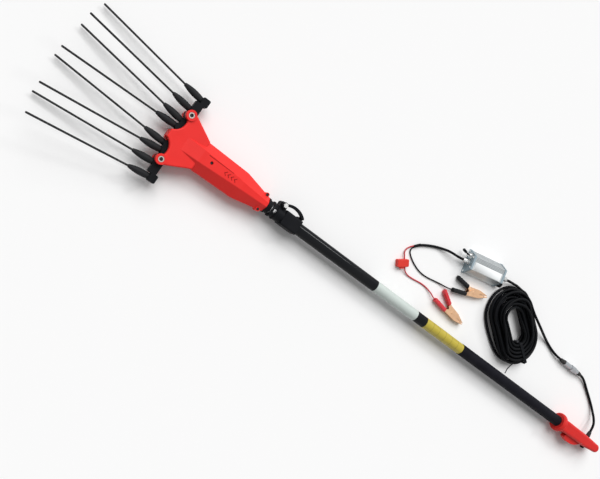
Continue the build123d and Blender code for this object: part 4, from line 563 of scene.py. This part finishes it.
# Loops that stand out or cross others: how far some of a loop's points go outwards and up
CROSSINGS = {
    (0, 0): {7: (0.0015, 0), 8: (0.006, 0), 9: (0.008, 0), 10: (0.005, 0), 11: (0.0015, 0)},
    (3, 1): {13: (0, 0.0024), 14: (0, 0.0068), 15: (0.004, 0.0081)},
    (3, 2): {0: (0.0105, 0.008), 1: (0.0045, 0.0081), 2: (0, 0.0068), 3: (0, 0.0024)},
    (3, 3): {6: (0, 0.0026), 7: (0, 0.0068), 8: (-0.003, 0.008), 9: (-0.009, 0.008), 10: (-0.013, 0.0079),
             11: (-0.014, 0.0078), 12: (-0.014, 0.0078), 13: (-0.011, 0.008), 14: (-0.004, 0.008),
             15: (0, 0.0066)},
    (3, 4): {0: (0, 0.0024)},
}

# Where a loop starts to come free of the tie, and the stretches over which it does so, leans out and back,
# and goes from its near to its far side
FREE_FROM = 0.070
FREE_SPAN = 0.110
LEAN_SPAN = 0.165
SIDE_SPAN = 0.080


def half_run(radius):
    """Half of a loop's straight run: the inner loops are shorter."""
    return COIL_RUN / 2 - COIL_TAPER * (COIL_OUTER - radius)


def eased(share):
    """Smooth step from 0 to 1."""
    share = min(1.0, max(0.0, share))
    return share * share * (3 - 2 * share)


def coil_point(along, across, height):
    """Point of the coil from its middle: along its runs, across them and up."""
    return COIL_FRAME @ Vector((along, across, height))


def loosened(along, across, height, radius, layer, out=0, up=0):
    """Point of a loop as it lies, with its layer's slack and its own crossing."""
    slack = SLACK[layer]
    free = eased((FREE_FROM - along) / FREE_SPAN)
    grow = 1 + slack.fan * free * (radius - COIL_MIDDLE) / radius
    centre = copysign(min(half_run(radius), abs(along)), along)
    along, across = centre + (along - centre) * grow, across * grow
    turn = radians(slack.turn) * free
    arm = along - COIL_TIE
    along = COIL_TIE + arm * cos(turn) - across * sin(turn) + slack.slide * free
    across = arm * sin(turn) + across * cos(turn)
    side = eased((across + SIDE_SPAN / 2) / SIDE_SPAN)
    lean = slack.far * side + slack.near * (1 - side)
    across += lean * sin(pi * eased((FREE_FROM - along) / LEAN_SPAN))
    away = hypot(along - centre, across)
    return coil_point(along + out * (along - centre) / away, across * (1 + out / away), height + up)


def coil_controls():
    """Control points of the coil, from its lowest run up."""
    spread = tan(BEND_HALF_STEP)
    reach = 1 / cos(BEND_HALF_STEP)
    points = []
    radius = COIL_OUTER
    behind = half_run(COIL_OUTER)
    for layer in range(COIL_LAYERS):
        step = -COIL_PITCH if layer % 2 == 0 else COIL_PITCH
        height = COIL_BASE + layer * COIL_LAYER
        for turn in range(COIL_TURNS):
            climbs = layer > 0 and turn == 0
            far = half_run(radius)
            near_radius = radius + step / 2
            near = half_run(near_radius)
            loop = [(-behind + spread * radius, radius, radius), (far - spread * radius, radius, radius)]
            for angle in BEND_ANGLES:
                bend = radians(angle)
                loop.append((far + reach * radius * cos(bend), reach * radius * sin(bend), radius))
            loop += [(far - spread * radius, -radius, radius), (-near + spread * radius, -radius, radius)]
            out = reach * near_radius
            for angle in reversed(BEND_ANGLES):
                bend = radians(angle)
                loop.append((-near - out * cos(bend), step / 2 + out * sin(bend), near_radius))
            crossing = CROSSINGS.get((layer, turn), {})
            for number, (along, across, size) in enumerate(loop):
                below = climbs and number == 0
                points.append(loosened(along, across, height - COIL_LAYER if below else height, size,
                                       layer - 1 if below else layer, *crossing.get(number, (0, 0))))
            radius += step
            behind = near
    return points


# Where the cords start, end and part
SPLIT_END = beside(0.317, 0.151, 0.0037)
SPLIT_WAY = Vector((-1, -1, 0)).normalized()
SPLIT_HALF_GAP = 0.0018
SPLIT_SIDE = Vector((SPLIT_WAY.y, -SPLIT_WAY.x, 0)) * SPLIT_HALF_GAP
SPLIT_SLEEVE = ((-0.016, 0.00368), (0.001, 0.00368), (0.0035, 0.0034), (0.0045, 0.0029))
CLIP_REAR = 0.066
CLIP_WIRE_SIDE = -0.00925
FUSE_MIDDLE = 0.0065
CONNECTOR_Y = (SOCKET_LOW.y + SOCKET_HIGH.y) / 2
CONNECTOR_Z = (PLUG_LOW.z + PLUG_HIGH.z) / 2
COIL_END = -half_run(COIL_OUTER - COIL_PITCH / 2)
GLAND_X = (GLAND_LOW.x + GLAND_HIGH.x) / 2
# Straight run out of a gland or a connector, and height of a wire's middle on the floor
EXIT_RUN = 0.014
WIRE_REST = 0.0018


def on_connector(x):
    """Point on the connector's axis."""
    return Vector((x, CONNECTOR_Y, CONNECTOR_Z))


def on_gland(out):
    """Point on the axis of the handle's gland, this far out of its end."""
    return Vector((GLAND_X, GLAND_HIGH.y + out, AXIS_HEIGHT))


def at_fuse(x, y):
    """Point in the middle height of the fuse holder."""
    return FUSE_FRAME @ Vector((x, y, FUSE_MIDDLE))


def clip_entry(place, back):
    """Point where a wire enters a clip's sleeve, or that far behind it."""
    return place @ Vector((-CLIP_REAR - back, CLIP_WIRE_SIDE, 0))


def ahead(place, reach):
    """Point on a frame's X axis."""
    return place @ Vector((reach, 0, 0))


TAIL_ROUTE = [
    on_gland(0), on_gland(EXIT_RUN), beside(1.1793, 0.060, 0.0244), beside(1.1775, 0.076, 0.0155),
    beside(1.168, 0.091, 0.008), beside(1.150, 0.107, 0.0045), beside(1.128, 0.121, 0.0039),
    beside(1.099, 0.1375, 0.0044), beside(1.074, 0.151, 0.0064), on_connector(PLUG_HIGH.x + EXIT_RUN),
    on_connector(PLUG_HIGH.x)]
FEED_ROUTE = [
    on_connector(SOCKET_LOW.x), on_connector(SOCKET_LOW.x - EXIT_RUN),
    beside(0.916, 0.1596, 0.0064), beside(0.893, 0.1655, 0.0042), beside(0.869, 0.173, 0.0049),
    beside(0.843, 0.180, 0.0105), beside(0.814, 0.187, 0.0195), beside(0.784, 0.195, 0.027),
    beside(0.757, 0.2048, COIL_TOP - 0.0003), coil_point(COIL_END + 0.016, COIL_OUTER, COIL_TOP)]
BOX_ROUTE = [
    loosened(-COIL_RUN / 2 - 0.019, COIL_OUTER, COIL_BASE, COIL_OUTER, 0), beside(0.690, 0.243, COIL_BASE),
    beside(0.669, 0.2445, 0.006), beside(0.648, 0.241, 0.010), ahead(IN_GLAND, GLAND_REACH + 0.013),
    ahead(IN_GLAND, GLAND_REACH)]
BATTERY_ROUTE = [
    ahead(OUT_GLAND, GLAND_REACH), ahead(OUT_GLAND, GLAND_REACH + EXIT_RUN),
    beside(0.413, 0.197, 0.0128), beside(0.395, 0.1925, 0.0068), beside(0.377, 0.1865, 0.0039),
    beside(0.359, 0.1788, 0.0036), beside(0.341, 0.1695, 0.0036), SPLIT_END - SPLIT_WAY * 0.012, SPLIT_END]
RED_ROUTE = [
    SPLIT_END + SPLIT_SIDE, SPLIT_END + SPLIT_SIDE + SPLIT_WAY * 0.008, beside(0.3038, 0.139, 0.0026),
    beside(0.2996, 0.1305, 0.0022), beside(0.299, 0.121, 0.0036), at_fuse(0.005, 0.019),
    at_fuse(0.005, 0.010)]
BLACK_ROUTE = [
    SPLIT_END - SPLIT_SIDE, SPLIT_END - SPLIT_SIDE + SPLIT_WAY * 0.0057, beside(0.3122, 0.1404, 0.0028),
    beside(0.3125, 0.1347, 0.002), beside(0.3151, 0.1296, WIRE_REST), beside(0.3221, 0.1239, WIRE_REST),
    beside(0.3334, 0.1172, WIRE_REST), beside(0.348, 0.111, WIRE_REST), beside(0.364, 0.106, WIRE_REST),
    beside(0.381, 0.1038, WIRE_REST), beside(0.398, 0.1046, WIRE_REST), beside(0.415, 0.1074, WIRE_REST),
    beside(0.431, 0.1106, 0.002), beside(0.447, 0.1133, 0.003), beside(0.463, 0.115, 0.0052),
    clip_entry(BLACK_CLIP_FRAME, 0.011), clip_entry(BLACK_CLIP_FRAME, 0)]
FUSE_ROUTE = [
    at_fuse(0.008, -0.010), at_fuse(0.008, -0.018),
    beside(0.335, 0.0796, 0.0042), beside(0.3455, 0.0774, 0.0022), beside(0.359, 0.0776, WIRE_REST),
    beside(0.375, 0.0796, WIRE_REST), beside(0.391, 0.082, WIRE_REST), beside(0.408, 0.0828, 0.002),
    beside(0.424, 0.0802, 0.0032), beside(0.437, 0.0764, 0.0056), clip_entry(RED_CLIP_FRAME, 0.009),
    clip_entry(RED_CLIP_FRAME, 0)]

CORD_ORDER = 3
CORD_STEPS = 6
CORD_ROUNDNESS = 3


def cord(name, route, diameter, finish, slot, *nodes):
    """Round cord on one smooth spline with the route's points as its controls."""
    curve = bpy.data.curves.new(name, "CURVE")
    curve.dimensions = "3D"
    curve.resolution_u = CORD_STEPS
    curve.bevel_depth = diameter / 2
    curve.bevel_resolution = CORD_ROUNDNESS
    curve.use_fill_caps = True
    spline = curve.splines.new("NURBS")
    spline.points.add(len(route) - 1)
    for control, point in zip(spline.points, route):
        control.co = (*point, 1)
    spline.order_u = CORD_ORDER
    spline.use_endpoint_u = True
    curve.materials.append(bpy.data.materials[finish])
    piece = bpy.data.objects.new(name, curve)
    bpy.context.scene.collection.objects.link(piece)
    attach(piece, "pole")
    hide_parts(*nodes)
    return piece


class HARVESTER_OT_cords(Operator):
    """Supply lead with its coil, tail cord, battery lead and the clips' wires"""

    bl_idname = "harvester.cords"
    bl_label = "Cords"

    def execute(self, context):
        sizes = context.scene.harvester_sizes
        lead, battery, wire = sizes.lead_diameter, sizes.battery_lead_diameter, sizes.wire_diameter
        supply_route = FEED_ROUTE + list(reversed(coil_controls())) + BOX_ROUTE
        tail = cord("tail_lead", TAIL_ROUTE, lead, "cord_sheath", "cord_black", "tail_cord")
        supply = cord("supply_lead", supply_route, lead, "cord_sheath", "cord_black",
                      "feed_cord", "cable_coil", "box_lead")
        pair = cord("battery_lead", BATTERY_ROUTE, battery, "cord_sheath", "cord_black", "battery_cord")
        red = cord("red_wire", RED_ROUTE, wire, "red_wire", "cord_red", "red_lead")
        black = cord("black_wire", BLACK_ROUTE, wire, "cord_sheath", "cord_black", "black_lead")
        fused = cord("fuse_wire", FUSE_ROUTE, wire, "red_wire", "cord_red", "fuse_lead")

        shape = bmesh.new()
        lathe(shape, along_x(SPLIT_END, SPLIT_WAY), SPLIT_SLEEVE, sides=24)
        sleeve = keep("split_sleeve", shape, "cord_sheath", "pole")

        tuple(FEED_ROUTE[0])
        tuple(BATTERY_ROUTE[0])
        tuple(RED_ROUTE[0])
        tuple(BLACK_ROUTE[0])
        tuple(FUSE_ROUTE[0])
        return {"FINISHED"}


# Battery clips: coppered jaws and vinyl grips

GRIP_FRONT = 0.0205
JAW_CUT = 0.0215
GRIP_HALF_WIDTH = 0.0062
GRIP_HALF_HEIGHT = 0.00745
GRIP_SIDES = 32
GRIP_SQUARENESS = 0.6
LEVER_NECK = 0.014
LEVER_MIDDLE = 0.00915

# Each lever: its side of the clip, how it splays behind its neck, and where its grip ends
LEVERS = (("fixed", -1, 0.0, CLIP_REAR), ("moving", 1, 0.38, 0.061))

# A grip's ends as shares of its length and of its section, and the ridges between them
GRIP_MOUTH = ((0, 0.88), (0.02, 0.97), (0.05, 1.0))
GRIP_TAIL = ((0.93, 1.0), (0.965, 0.95), (0.988, 0.82), (1.0, 0.62))
RIDGE_START = 0.05
RIDGE_SPAN = 0.87
RIDGE_DEPTH = 0.035
RIDGE_STEPS = 8


def grip_ring(place, side, splay, along, size):
    """Ring of a clip's grip: a rounded oblong about the lever at a place behind the pivot."""
    middle = side * (LEVER_MIDDLE + splay * (along - LEVER_NECK))
    points = []
    for number in range(GRIP_SIDES):
        turn = 2 * pi * number / GRIP_SIDES
        wide = copysign(abs(cos(turn)) ** GRIP_SQUARENESS, cos(turn)) * GRIP_HALF_WIDTH * size
        tall = copysign(abs(sin(turn)) ** GRIP_SQUARENESS, sin(turn)) * GRIP_HALF_HEIGHT * size
        points.append(place @ Vector((-along, middle + wide, tall)))
    return points


def clip_pieces(name, place, side, splay, rear, ridges, finish):
    """Coppered jaw and vinyl grip that stand for one lever of a clip."""
    node = f"{name}_jaw"
    solid = frame["nodes"][node]
    body = next(label for label, carrier in frame["bodies"].items() if carrier == solid.parent)
    shape = bmesh.new()
    shape.from_mesh(solid.data)
    bmesh.ops.remove_doubles(shape, verts=shape.verts, dist=1e-6)
    cut = bmesh.ops.bisect_plane(
        shape, geom=[*shape.verts, *shape.edges, *shape.faces], plane_co=ahead(place, -JAW_CUT),
        plane_no=place.to_3x3() @ Vector((1, 0, 0)), clear_inner=True)
    rim = [item for item in cut["geom_cut"] if isinstance(item, bmesh.types.BMEdge)]
    bmesh.ops.holes_fill(shape, edges=rim)
    jaw = keep(f"{name}_copper", shape, "coppered_steel", body)
    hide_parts(node)

    shape = bmesh.new()
    length = rear - GRIP_FRONT
    stations = list(GRIP_MOUTH)
    count = RIDGE_STEPS * ridges
    for number in range(1, count):
        share = RIDGE_START + RIDGE_SPAN * number / count
        stations.append((share, 1 - RIDGE_DEPTH * (1 - cos(2 * pi * number / RIDGE_STEPS))))
    stations += GRIP_TAIL
    loft(shape, [grip_ring(place, side, splay, GRIP_FRONT + share * length, size)
                 for share, size in stations])
    grip = keep(f"{name}_grip", shape, finish, body, smooth=50)
    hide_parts(node)


class HARVESTER_OT_clips(Operator):
    """Battery clips with coppered jaws and ridged vinyl grips"""

    bl_idname = "harvester.clips"
    bl_label = "Clips"

    def execute(self, context):
        ridges = context.scene.harvester_sizes.sleeve_ridges
        for colour, place in (("red", RED_CLIP_FRAME), ("black", BLACK_CLIP_FRAME)):
            finish, slot = f"{colour}_vinyl", f"{colour}_clip"
            for lever, side, splay, rear in LEVERS:
                clip_pieces(f"{colour}_{lever}", place, side, splay, rear, ridges, finish)
        return {"FINISHED"}


# Fittings of the box, strain reliefs, painted shade in the bolt sockets and the housing's grooves, and the
# coil's tie

# Nuts as (low, high, width across flats) and turned rings as (station, radius), outwards from where they sit
GLAND_NUTS = ((0.0002, 0.0048, 0.0146), (0.0054, 0.0112, 0.0126))
GLAND_DOME = ((0.0114, 0.0060), (0.0119, 0.0066), (0.0178, 0.0066), (0.0205, 0.0059), (0.0218, 0.0047))
TOGGLE_NUT = (0.0002, 0.0031, 0.0155)
TOGGLE_RING = ((0.0036, 0.0057), (0.004, 0.0060), (0.0052, 0.0060), (0.0056, 0.0057))
# Dark hex plug on each pivot bolt's socket floor as (low, high, width across flats): painted shade
BOLT_SOCKET_SHADE = (0.0195, 0.0204, 0.0078)

# Strain reliefs as (length, root, tip), and how far inside the connector and the gland they start
CONNECTOR_RELIEF = (0.0175, 0.0064, 0.0048)
CONNECTOR_INSET = 0.0138
GLAND_RELIEF = (0.0130, 0.0062, 0.0049)
GLAND_INSET = 0.0108
RELIEF_LIP = 0.0006
RELIEF_SWELL = 1.03
RELIEF_END = 0.001
RELIEF_EASE = 0.92
RING_WIRE = 0.0006
RING_START = 0.12
RING_REACH = 0.7


def relief(shape, place, length, root, tip, rings):
    """Tapered strain relief with rings, along a frame's X axis."""
    profile = ((0, root), (RELIEF_LIP, RELIEF_SWELL * root), (length, tip),
               (length + RELIEF_END, RELIEF_EASE * tip))
    lathe(shape, place, profile, sides=28)
    gaps = rings - 1
    add_rings(shape, place @ Matrix.Translation((RING_START * length, 0, 0)), Count=rings,
              Pitch=RING_REACH * length / gaps, Radius=root, Wire=RING_WIRE,
              Shrink=RING_REACH * (1 - tip / root) / gaps, Material=bpy.data.materials["boot_rubber"])


TIE_POINTS = ((0.1125, -0.0020, 0.0060), (0.1160, -0.0070, 0.0022), (0.1172, -0.0160, 0.0007),
              (0.1195, -0.0280, 0.0007), (0.1235, -0.0410, 0.0007), (0.1325, -0.0528, 0.0007))
TIE_HALF_WIDTH = 0.0012
TIE_HALF_THICKNESS = 0.0005
TIE_HEAD = ((-0.0032, 0.0040), (-0.0026, 0.0047), (0.0026, 0.0047), (0.0032, 0.0040))
TIE_HEAD_PLACE = (0.0470, -0.002, 0.021)


def tie_tail(shape):
    """Loose end of the coil's tie, a flat strip that bends away over the floor."""
    points = [coil_point(*point) for point in TIE_POINTS]
    up = Vector((0, 0, TIE_HALF_THICKNESS))
    rings = []
    for number, point in enumerate(points):
        way = points[min(number + 1, len(points) - 1)] - points[max(number - 1, 0)]
        across = way.cross(Vector((0, 0, 1))).normalized() * TIE_HALF_WIDTH
        rings.append([point - across - up, point + across - up, point + across + up, point - across + up])
    loft(shape, rings)


# Strips of painted shade in the housing's grooves, placed from its screw behind the pivot bolts: one along a
# side, and a row of chevrons
SCREW_BACK = 0.094
GROOVE_FLOOR = 0.02522
LONG_GROOVE = (Vector((-0.013, 0.011)), Vector((0.054, 0.011)))
CHEVRONS = 4
CHEVRON_START = 0.036
CHEVRON_PITCH = 0.009
CHEVRON_ARM = 0.0045
SHADE_STRIP_HALF_WIDTH = 0.0009
SHADE_STRIP_THICKNESS = 0.0002
SHADE_STRIP_STEPS = 6


def strip(shape, place, first, last):
    """Thin dark strip of painted shade with round ends between two points of a groove's floor."""
    start = atan2(last.y - first.y, last.x - first.x) - pi / 2
    outline = []
    for middle, base in ((last, start), (first, start + pi)):
        for number in range(SHADE_STRIP_STEPS + 1):
            turn = base + pi * number / SHADE_STRIP_STEPS
            outline.append((middle.x + SHADE_STRIP_HALF_WIDTH * cos(turn), middle.y + SHADE_STRIP_HALF_WIDTH * sin(turn)))
    loft(shape, [[place @ Vector((x, y, height)) for x, y in outline] for height in (0, SHADE_STRIP_THICKNESS)])


class HARVESTER_OT_fittings(Operator):
    """Nuts and domes of the box, strain reliefs, painted shade in the bolt sockets and the housing's grooves,
    and the tie's end
    """

    bl_idname = "harvester.fittings"
    bl_label = "Fittings"

    def execute(self, context):
        rings = context.scene.harvester_sizes.relief_rings
        shape = bmesh.new()
        for place in (IN_GLAND, OUT_GLAND):
            for nut in GLAND_NUTS:
                hexagon(shape, place, *nut)
            lathe(shape, place, GLAND_DOME)
        hexagon(shape, TOGGLE_BUSH, *TOGGLE_NUT)
        lathe(shape, TOGGLE_BUSH, TOGGLE_RING)
        keep("box_nuts", shape, "nickel_fitting", "pole")

        shape = bmesh.new()
        for root, way, sizes in ((on_connector(SOCKET_LOW.x + CONNECTOR_INSET), (-1, 0, 0), CONNECTOR_RELIEF),
                                 (on_connector(PLUG_HIGH.x - CONNECTOR_INSET), (1, 0, 0), CONNECTOR_RELIEF),
                                 (on_gland(-GLAND_INSET), (0, 1, 0), GLAND_RELIEF)):
            relief(shape, along_x(root, Vector(way)), *sizes, rings)
        keep("strain_reliefs", shape, "boot_rubber", "pole")

        # Dark hex plugs in the pivot bolts' sockets: painted shade
        shape = bmesh.new()
        bolt = (BOLTS_LOW.x + BOLTS_HIGH.x) / 2
        spread = BOLTS_HIGH.y - (BOLTS_HIGH.x - BOLTS_LOW.x) / 2
        for side in (1, -1):
            place = along_x(Vector((bolt, side * spread, AXIS_HEIGHT)), Vector((0, 0, 1)))
            hexagon(shape, place, *BOLT_SOCKET_SHADE)
        keep("bolt_socket_painted_shade", shape, "blackened_screw_and_socket_shade", "head")

        # Dark red strips on the floors of the housing's grooves: painted shade
        shape = bmesh.new()
        place = Matrix.Translation((bolt + SCREW_BACK, 0, AXIS_HEIGHT + GROOVE_FLOOR))
        strip(shape, place, *LONG_GROOVE)
        for number in range(CHEVRONS):
            tip = Vector((CHEVRON_START + CHEVRON_PITCH * number, 0))
            for side in (1, -1):
                strip(shape, place, tip, tip + Vector((CHEVRON_ARM, side * CHEVRON_ARM)))
        keep("shell_groove_painted_shade", shape, "red_groove_painted_shade", "head")

        shape = bmesh.new()
        tie_tail(shape)
        head = COIL_FRAME @ Matrix.Translation(TIE_HEAD_PLACE)
        lathe(shape, head @ Matrix.Rotation(pi / 4, 4, "X"), TIE_HEAD, sides=4)
        keep("tie_end", shape, "black_nylon", "pole")
        return {"FINISHED"}


# Labels of the pole and the box, and strips of painted shade in the box's grooves

FILM_REACH = radians(150)
FILM_STEPS = 40
FILM_UNDER = 0.00002
FILM_OVER = 0.00014

PLATE_HALF_LENGTH = 0.0475
PLATE_HALF_WIDTH = 0.0107
PLATE_CORNER = 0.0015
PLATE_MIDDLE = -0.0066
# Layers of the plate: share of its outline and height over the box
PLATE_LAYERS = ((1, 0.00003), (1, 0.0003), (0.997, 0.0004))

# Grooves of the box as (place across, height, lean in degrees), on its top and its sloping side
SIDE_LEAN = -62.6
SIDE_GROOVES = ((0.0207, 0.0277), (0.0239, 0.0216), (0.0271, 0.0154), (0.0303, 0.0093))
GROOVES = [(across, BOX_TOP, 0) for across in (0.0161, 0.0128, 0.0094, 0.00605)]
GROOVES += [(across, height, SIDE_LEAN) for across, height in SIDE_GROOVES]
# Dark strip below each groove's rim, as its half length and section: painted shade
GROOVE_HALF = 0.0525
GROOVE_SECTION = ((-0.0008, -0.0003), (0.0008, -0.0003), (0.0006, -0.0007), (-0.0006, -0.0007))


def wrap(name, start, length, finish):
    """Thin film round the upper part of the pole, with its own map along and around."""
    turns = [FILM_REACH * (2 * number / FILM_STEPS - 1) for number in range(FILM_STEPS + 1)]
    ends = (LOCK_END + start, LOCK_END + start + length)
    shape = bmesh.new()
    uv = shape.loops.layers.uv.new("film")
    inner, outer = (
        [[shape.verts.new((x, radius * sin(turn), AXIS_HEIGHT + radius * cos(turn))) for turn in turns]
         for x in ends] for radius in (POLE_RADIUS + FILM_UNDER, POLE_RADIUS + FILM_OVER))

    def quad(corners, marks):
        face = shape.faces.new(corners)
        for loop, mark in zip(face.loops, marks):
            loop[uv].uv = mark

    for number in range(FILM_STEPS):
        low, high = number / FILM_STEPS, (number + 1) / FILM_STEPS
        marks = ((0, low), (1, low), (1, high), (0, high))
        for first, second in (outer, inner):
            quad((first[number], second[number], second[number + 1], first[number + 1]), marks)
        for end in (0, 1):
            quad((outer[end][number], inner[end][number], inner[end][number + 1], outer[end][number + 1]),
                 ((end, low), (end, low), (end, high), (end, high)))
    for edge in (0, FILM_STEPS):
        quad((outer[0][edge], outer[1][edge], inner[1][edge], inner[0][edge]),
             ((0, 0.5), (1, 0.5), (1, 0.5), (0, 0.5)))
    keep(name, shape, finish, "pole", smooth=60)


def plate_outline():
    """Oblong with round corners, about its own middle."""
    points = []
    for x, y, start in ((1, 1, 0), (-1, 1, 90), (-1, -1, 180), (1, -1, 270)):
        for angle in (0, 30, 60, 90):
            turn = radians(start + angle)
            points.append((x * (PLATE_HALF_LENGTH - PLATE_CORNER) + PLATE_CORNER * cos(turn),
                           y * (PLATE_HALF_WIDTH - PLATE_CORNER) + PLATE_CORNER * sin(turn)))
    return points


class HARVESTER_OT_labels(Operator):
    """White label and yellow band on the pole, white plate on the box, and strips of painted shade in the
    box's grooves
    """

    bl_idname = "harvester.labels"
    bl_label = "Labels"

    def execute(self, context):
        sizes = context.scene.harvester_sizes
        wrap("white_label", sizes.label_start, sizes.label_length, "white_film")
        wrap("yellow_band", sizes.band_start, sizes.band_length, "yellow_film")

        outline = plate_outline()
        shape = bmesh.new()
        loft(shape, [[BOX_FRAME @ Vector((x * size, PLATE_MIDDLE + y * size, BOX_TOP + lift))
                      for x, y in outline] for size, lift in PLATE_LAYERS])
        keep("box_plate", shape, "bare_plate", "pole", smooth=60)

        # Dark strips in the box's grooves: painted shade
        shape = bmesh.new()
        for across, height, lean in GROOVES:
            leaning = Matrix.Rotation(radians(lean), 4, "X")
            place = BOX_FRAME @ Matrix.Translation((0, across, height)) @ leaning
            loft(shape, [[place @ Vector((end, wide, deep)) for wide, deep in GROOVE_SECTION]
                         for end in (-GROOVE_HALF, GROOVE_HALF)])
        keep("box_groove_painted_shade", shape, "groove_shade", "pole")
        return {"FINISHED"}


# Stage

FLOOR_SIZE = 8
FLOOR_DROP = 0.0003
FILL_STRENGTH = 0.30
# Lamps: the way to each, its width in degrees and its strength
LAMPS = (("key", (-0.25, 0.6, 0.76), 50, 2.78), ("rim", (0.38, 0.72, 0.58), 10, 0.5))
CAMERA_PLACE = beside(-0.5862, -0.1985, 1.4848)
CAMERA_RIGHT = Vector((0.74443, 0.54899, 0.38004))
CAMERA_DOWN = Vector((0.54629, -0.82805, 0.12608))
CAMERA_FORWARD = Vector((0.38391, 0.11375, -0.91634))
CAMERA_LENS = 40.0
CAMERA_SENSOR = 36.0
CAMERA_REACH = 50


def studio_world():
    """White world that lights the object softly; the camera and mirrorings see it in full."""
    world = bpy.data.worlds.new("studio")
    world.use_nodes = True
    tree = world.node_tree
    tree.nodes.clear()
    add, join = tree.nodes.new, tree.links.new
    rays = add("ShaderNodeLightPath").outputs
    mirrored = calculated(tree, "MAXIMUM", rays["Is Glossy Ray"], rays["Is Transmission Ray"])
    seen = calculated(tree, "MAXIMUM", rays["Is Camera Ray"], mirrored)
    fill, white = add("ShaderNodeBackground"), add("ShaderNodeBackground")
    for background in (fill, white):
        background.inputs["Color"].default_value = (1, 1, 1, 1)
    fill.inputs["Strength"].default_value = FILL_STRENGTH
    mix = add("ShaderNodeMixShader")
    output = add("ShaderNodeOutputWorld")
    join(seen, mix.inputs["Fac"])
    join(fill.outputs["Background"], mix.inputs[1])
    join(white.outputs["Background"], mix.inputs[2])
    join(mix.outputs["Shader"], output.inputs["Surface"])
    return world


class HARVESTER_OT_stage(Operator):
    """Pale floor, soft studio light and the camera"""

    bl_idname = "harvester.stage"
    bl_label = "Stage"

    def execute(self, context):
        scene = context.scene
        scene.view_settings.view_transform = "Standard"
        scene.world = studio_world()

        shape = bmesh.new()
        bmesh.ops.create_grid(shape, x_segments=1, y_segments=1, size=FLOOR_SIZE)
        mesh = bpy.data.meshes.new("floor")
        shape.to_mesh(mesh)
        shape.free()
        pale = Finish("pale_floor")
        pale.constant(Base_Color=(0.9, 0.9, 0.9, 1), Roughness=0.9, Specular_IOR_Level=0.0)
        mesh.materials.append(pale.material)
        floor = bpy.data.objects.new("floor", mesh)
        floor.location.z = -FLOOR_DROP
        scene.collection.objects.link(floor)

        for name, way, angle, strength in LAMPS:
            light = bpy.data.lights.new(name, "SUN")
            light.angle = radians(angle)
            light.energy = strength
            lamp = bpy.data.objects.new(name, light)
            lamp.rotation_euler = (-Vector(way)).to_track_quat("-Z", "Y").to_euler()
            scene.collection.objects.link(lamp)

        eye = bpy.data.cameras.new("camera")
        eye.lens = CAMERA_LENS
        eye.sensor_width = CAMERA_SENSOR
        eye.clip_end = CAMERA_REACH
        camera = bpy.data.objects.new("camera", eye)
        turned = Matrix((CAMERA_RIGHT, -CAMERA_DOWN, -CAMERA_FORWARD)).transposed().to_4x4()
        camera.matrix_world = Matrix.Translation(CAMERA_PLACE) @ turned
        scene.collection.objects.link(camera)
        scene.camera = camera
        return {"FINISHED"}


# Panel and registration

STEPS = ("stage", "finishes", "clips", "cords", "fittings", "labels")


class HARVESTER_PT_panel(Panel):
    bl_label = "Olive harvester"
    bl_idname = "HARVESTER_PT_panel"
    bl_space_type = "VIEW_3D"
    bl_region_type = "UI"
    bl_category = "Harvester"

    def draw(self, context):
        for step in STEPS:
            self.layout.operator(f"harvester.{step}")
        for settings in (context.scene.harvester_sizes, context.scene.harvester_colours):
            for name in settings.__annotations__:
                self.layout.prop(settings, name)


CLASSES = (HarvesterSizes, HarvesterColours, HARVESTER_OT_stage, HARVESTER_OT_finishes, HARVESTER_OT_clips,
           HARVESTER_OT_cords, HARVESTER_OT_fittings, HARVESTER_OT_labels, HARVESTER_PT_panel)


def register():
    for item in CLASSES:
        bpy.utils.register_class(item)
    bpy.types.Scene.harvester_sizes = PointerProperty(type=HarvesterSizes)
    bpy.types.Scene.harvester_colours = PointerProperty(type=HarvesterColours)


def unregister():
    del bpy.types.Scene.harvester_colours
    del bpy.types.Scene.harvester_sizes
    for item in reversed(CLASSES):
        bpy.utils.unregister_class(item)


def main():
    register()
    for step in STEPS:
        getattr(bpy.ops.harvester, step)()


if __name__ == "__main__":
    main()
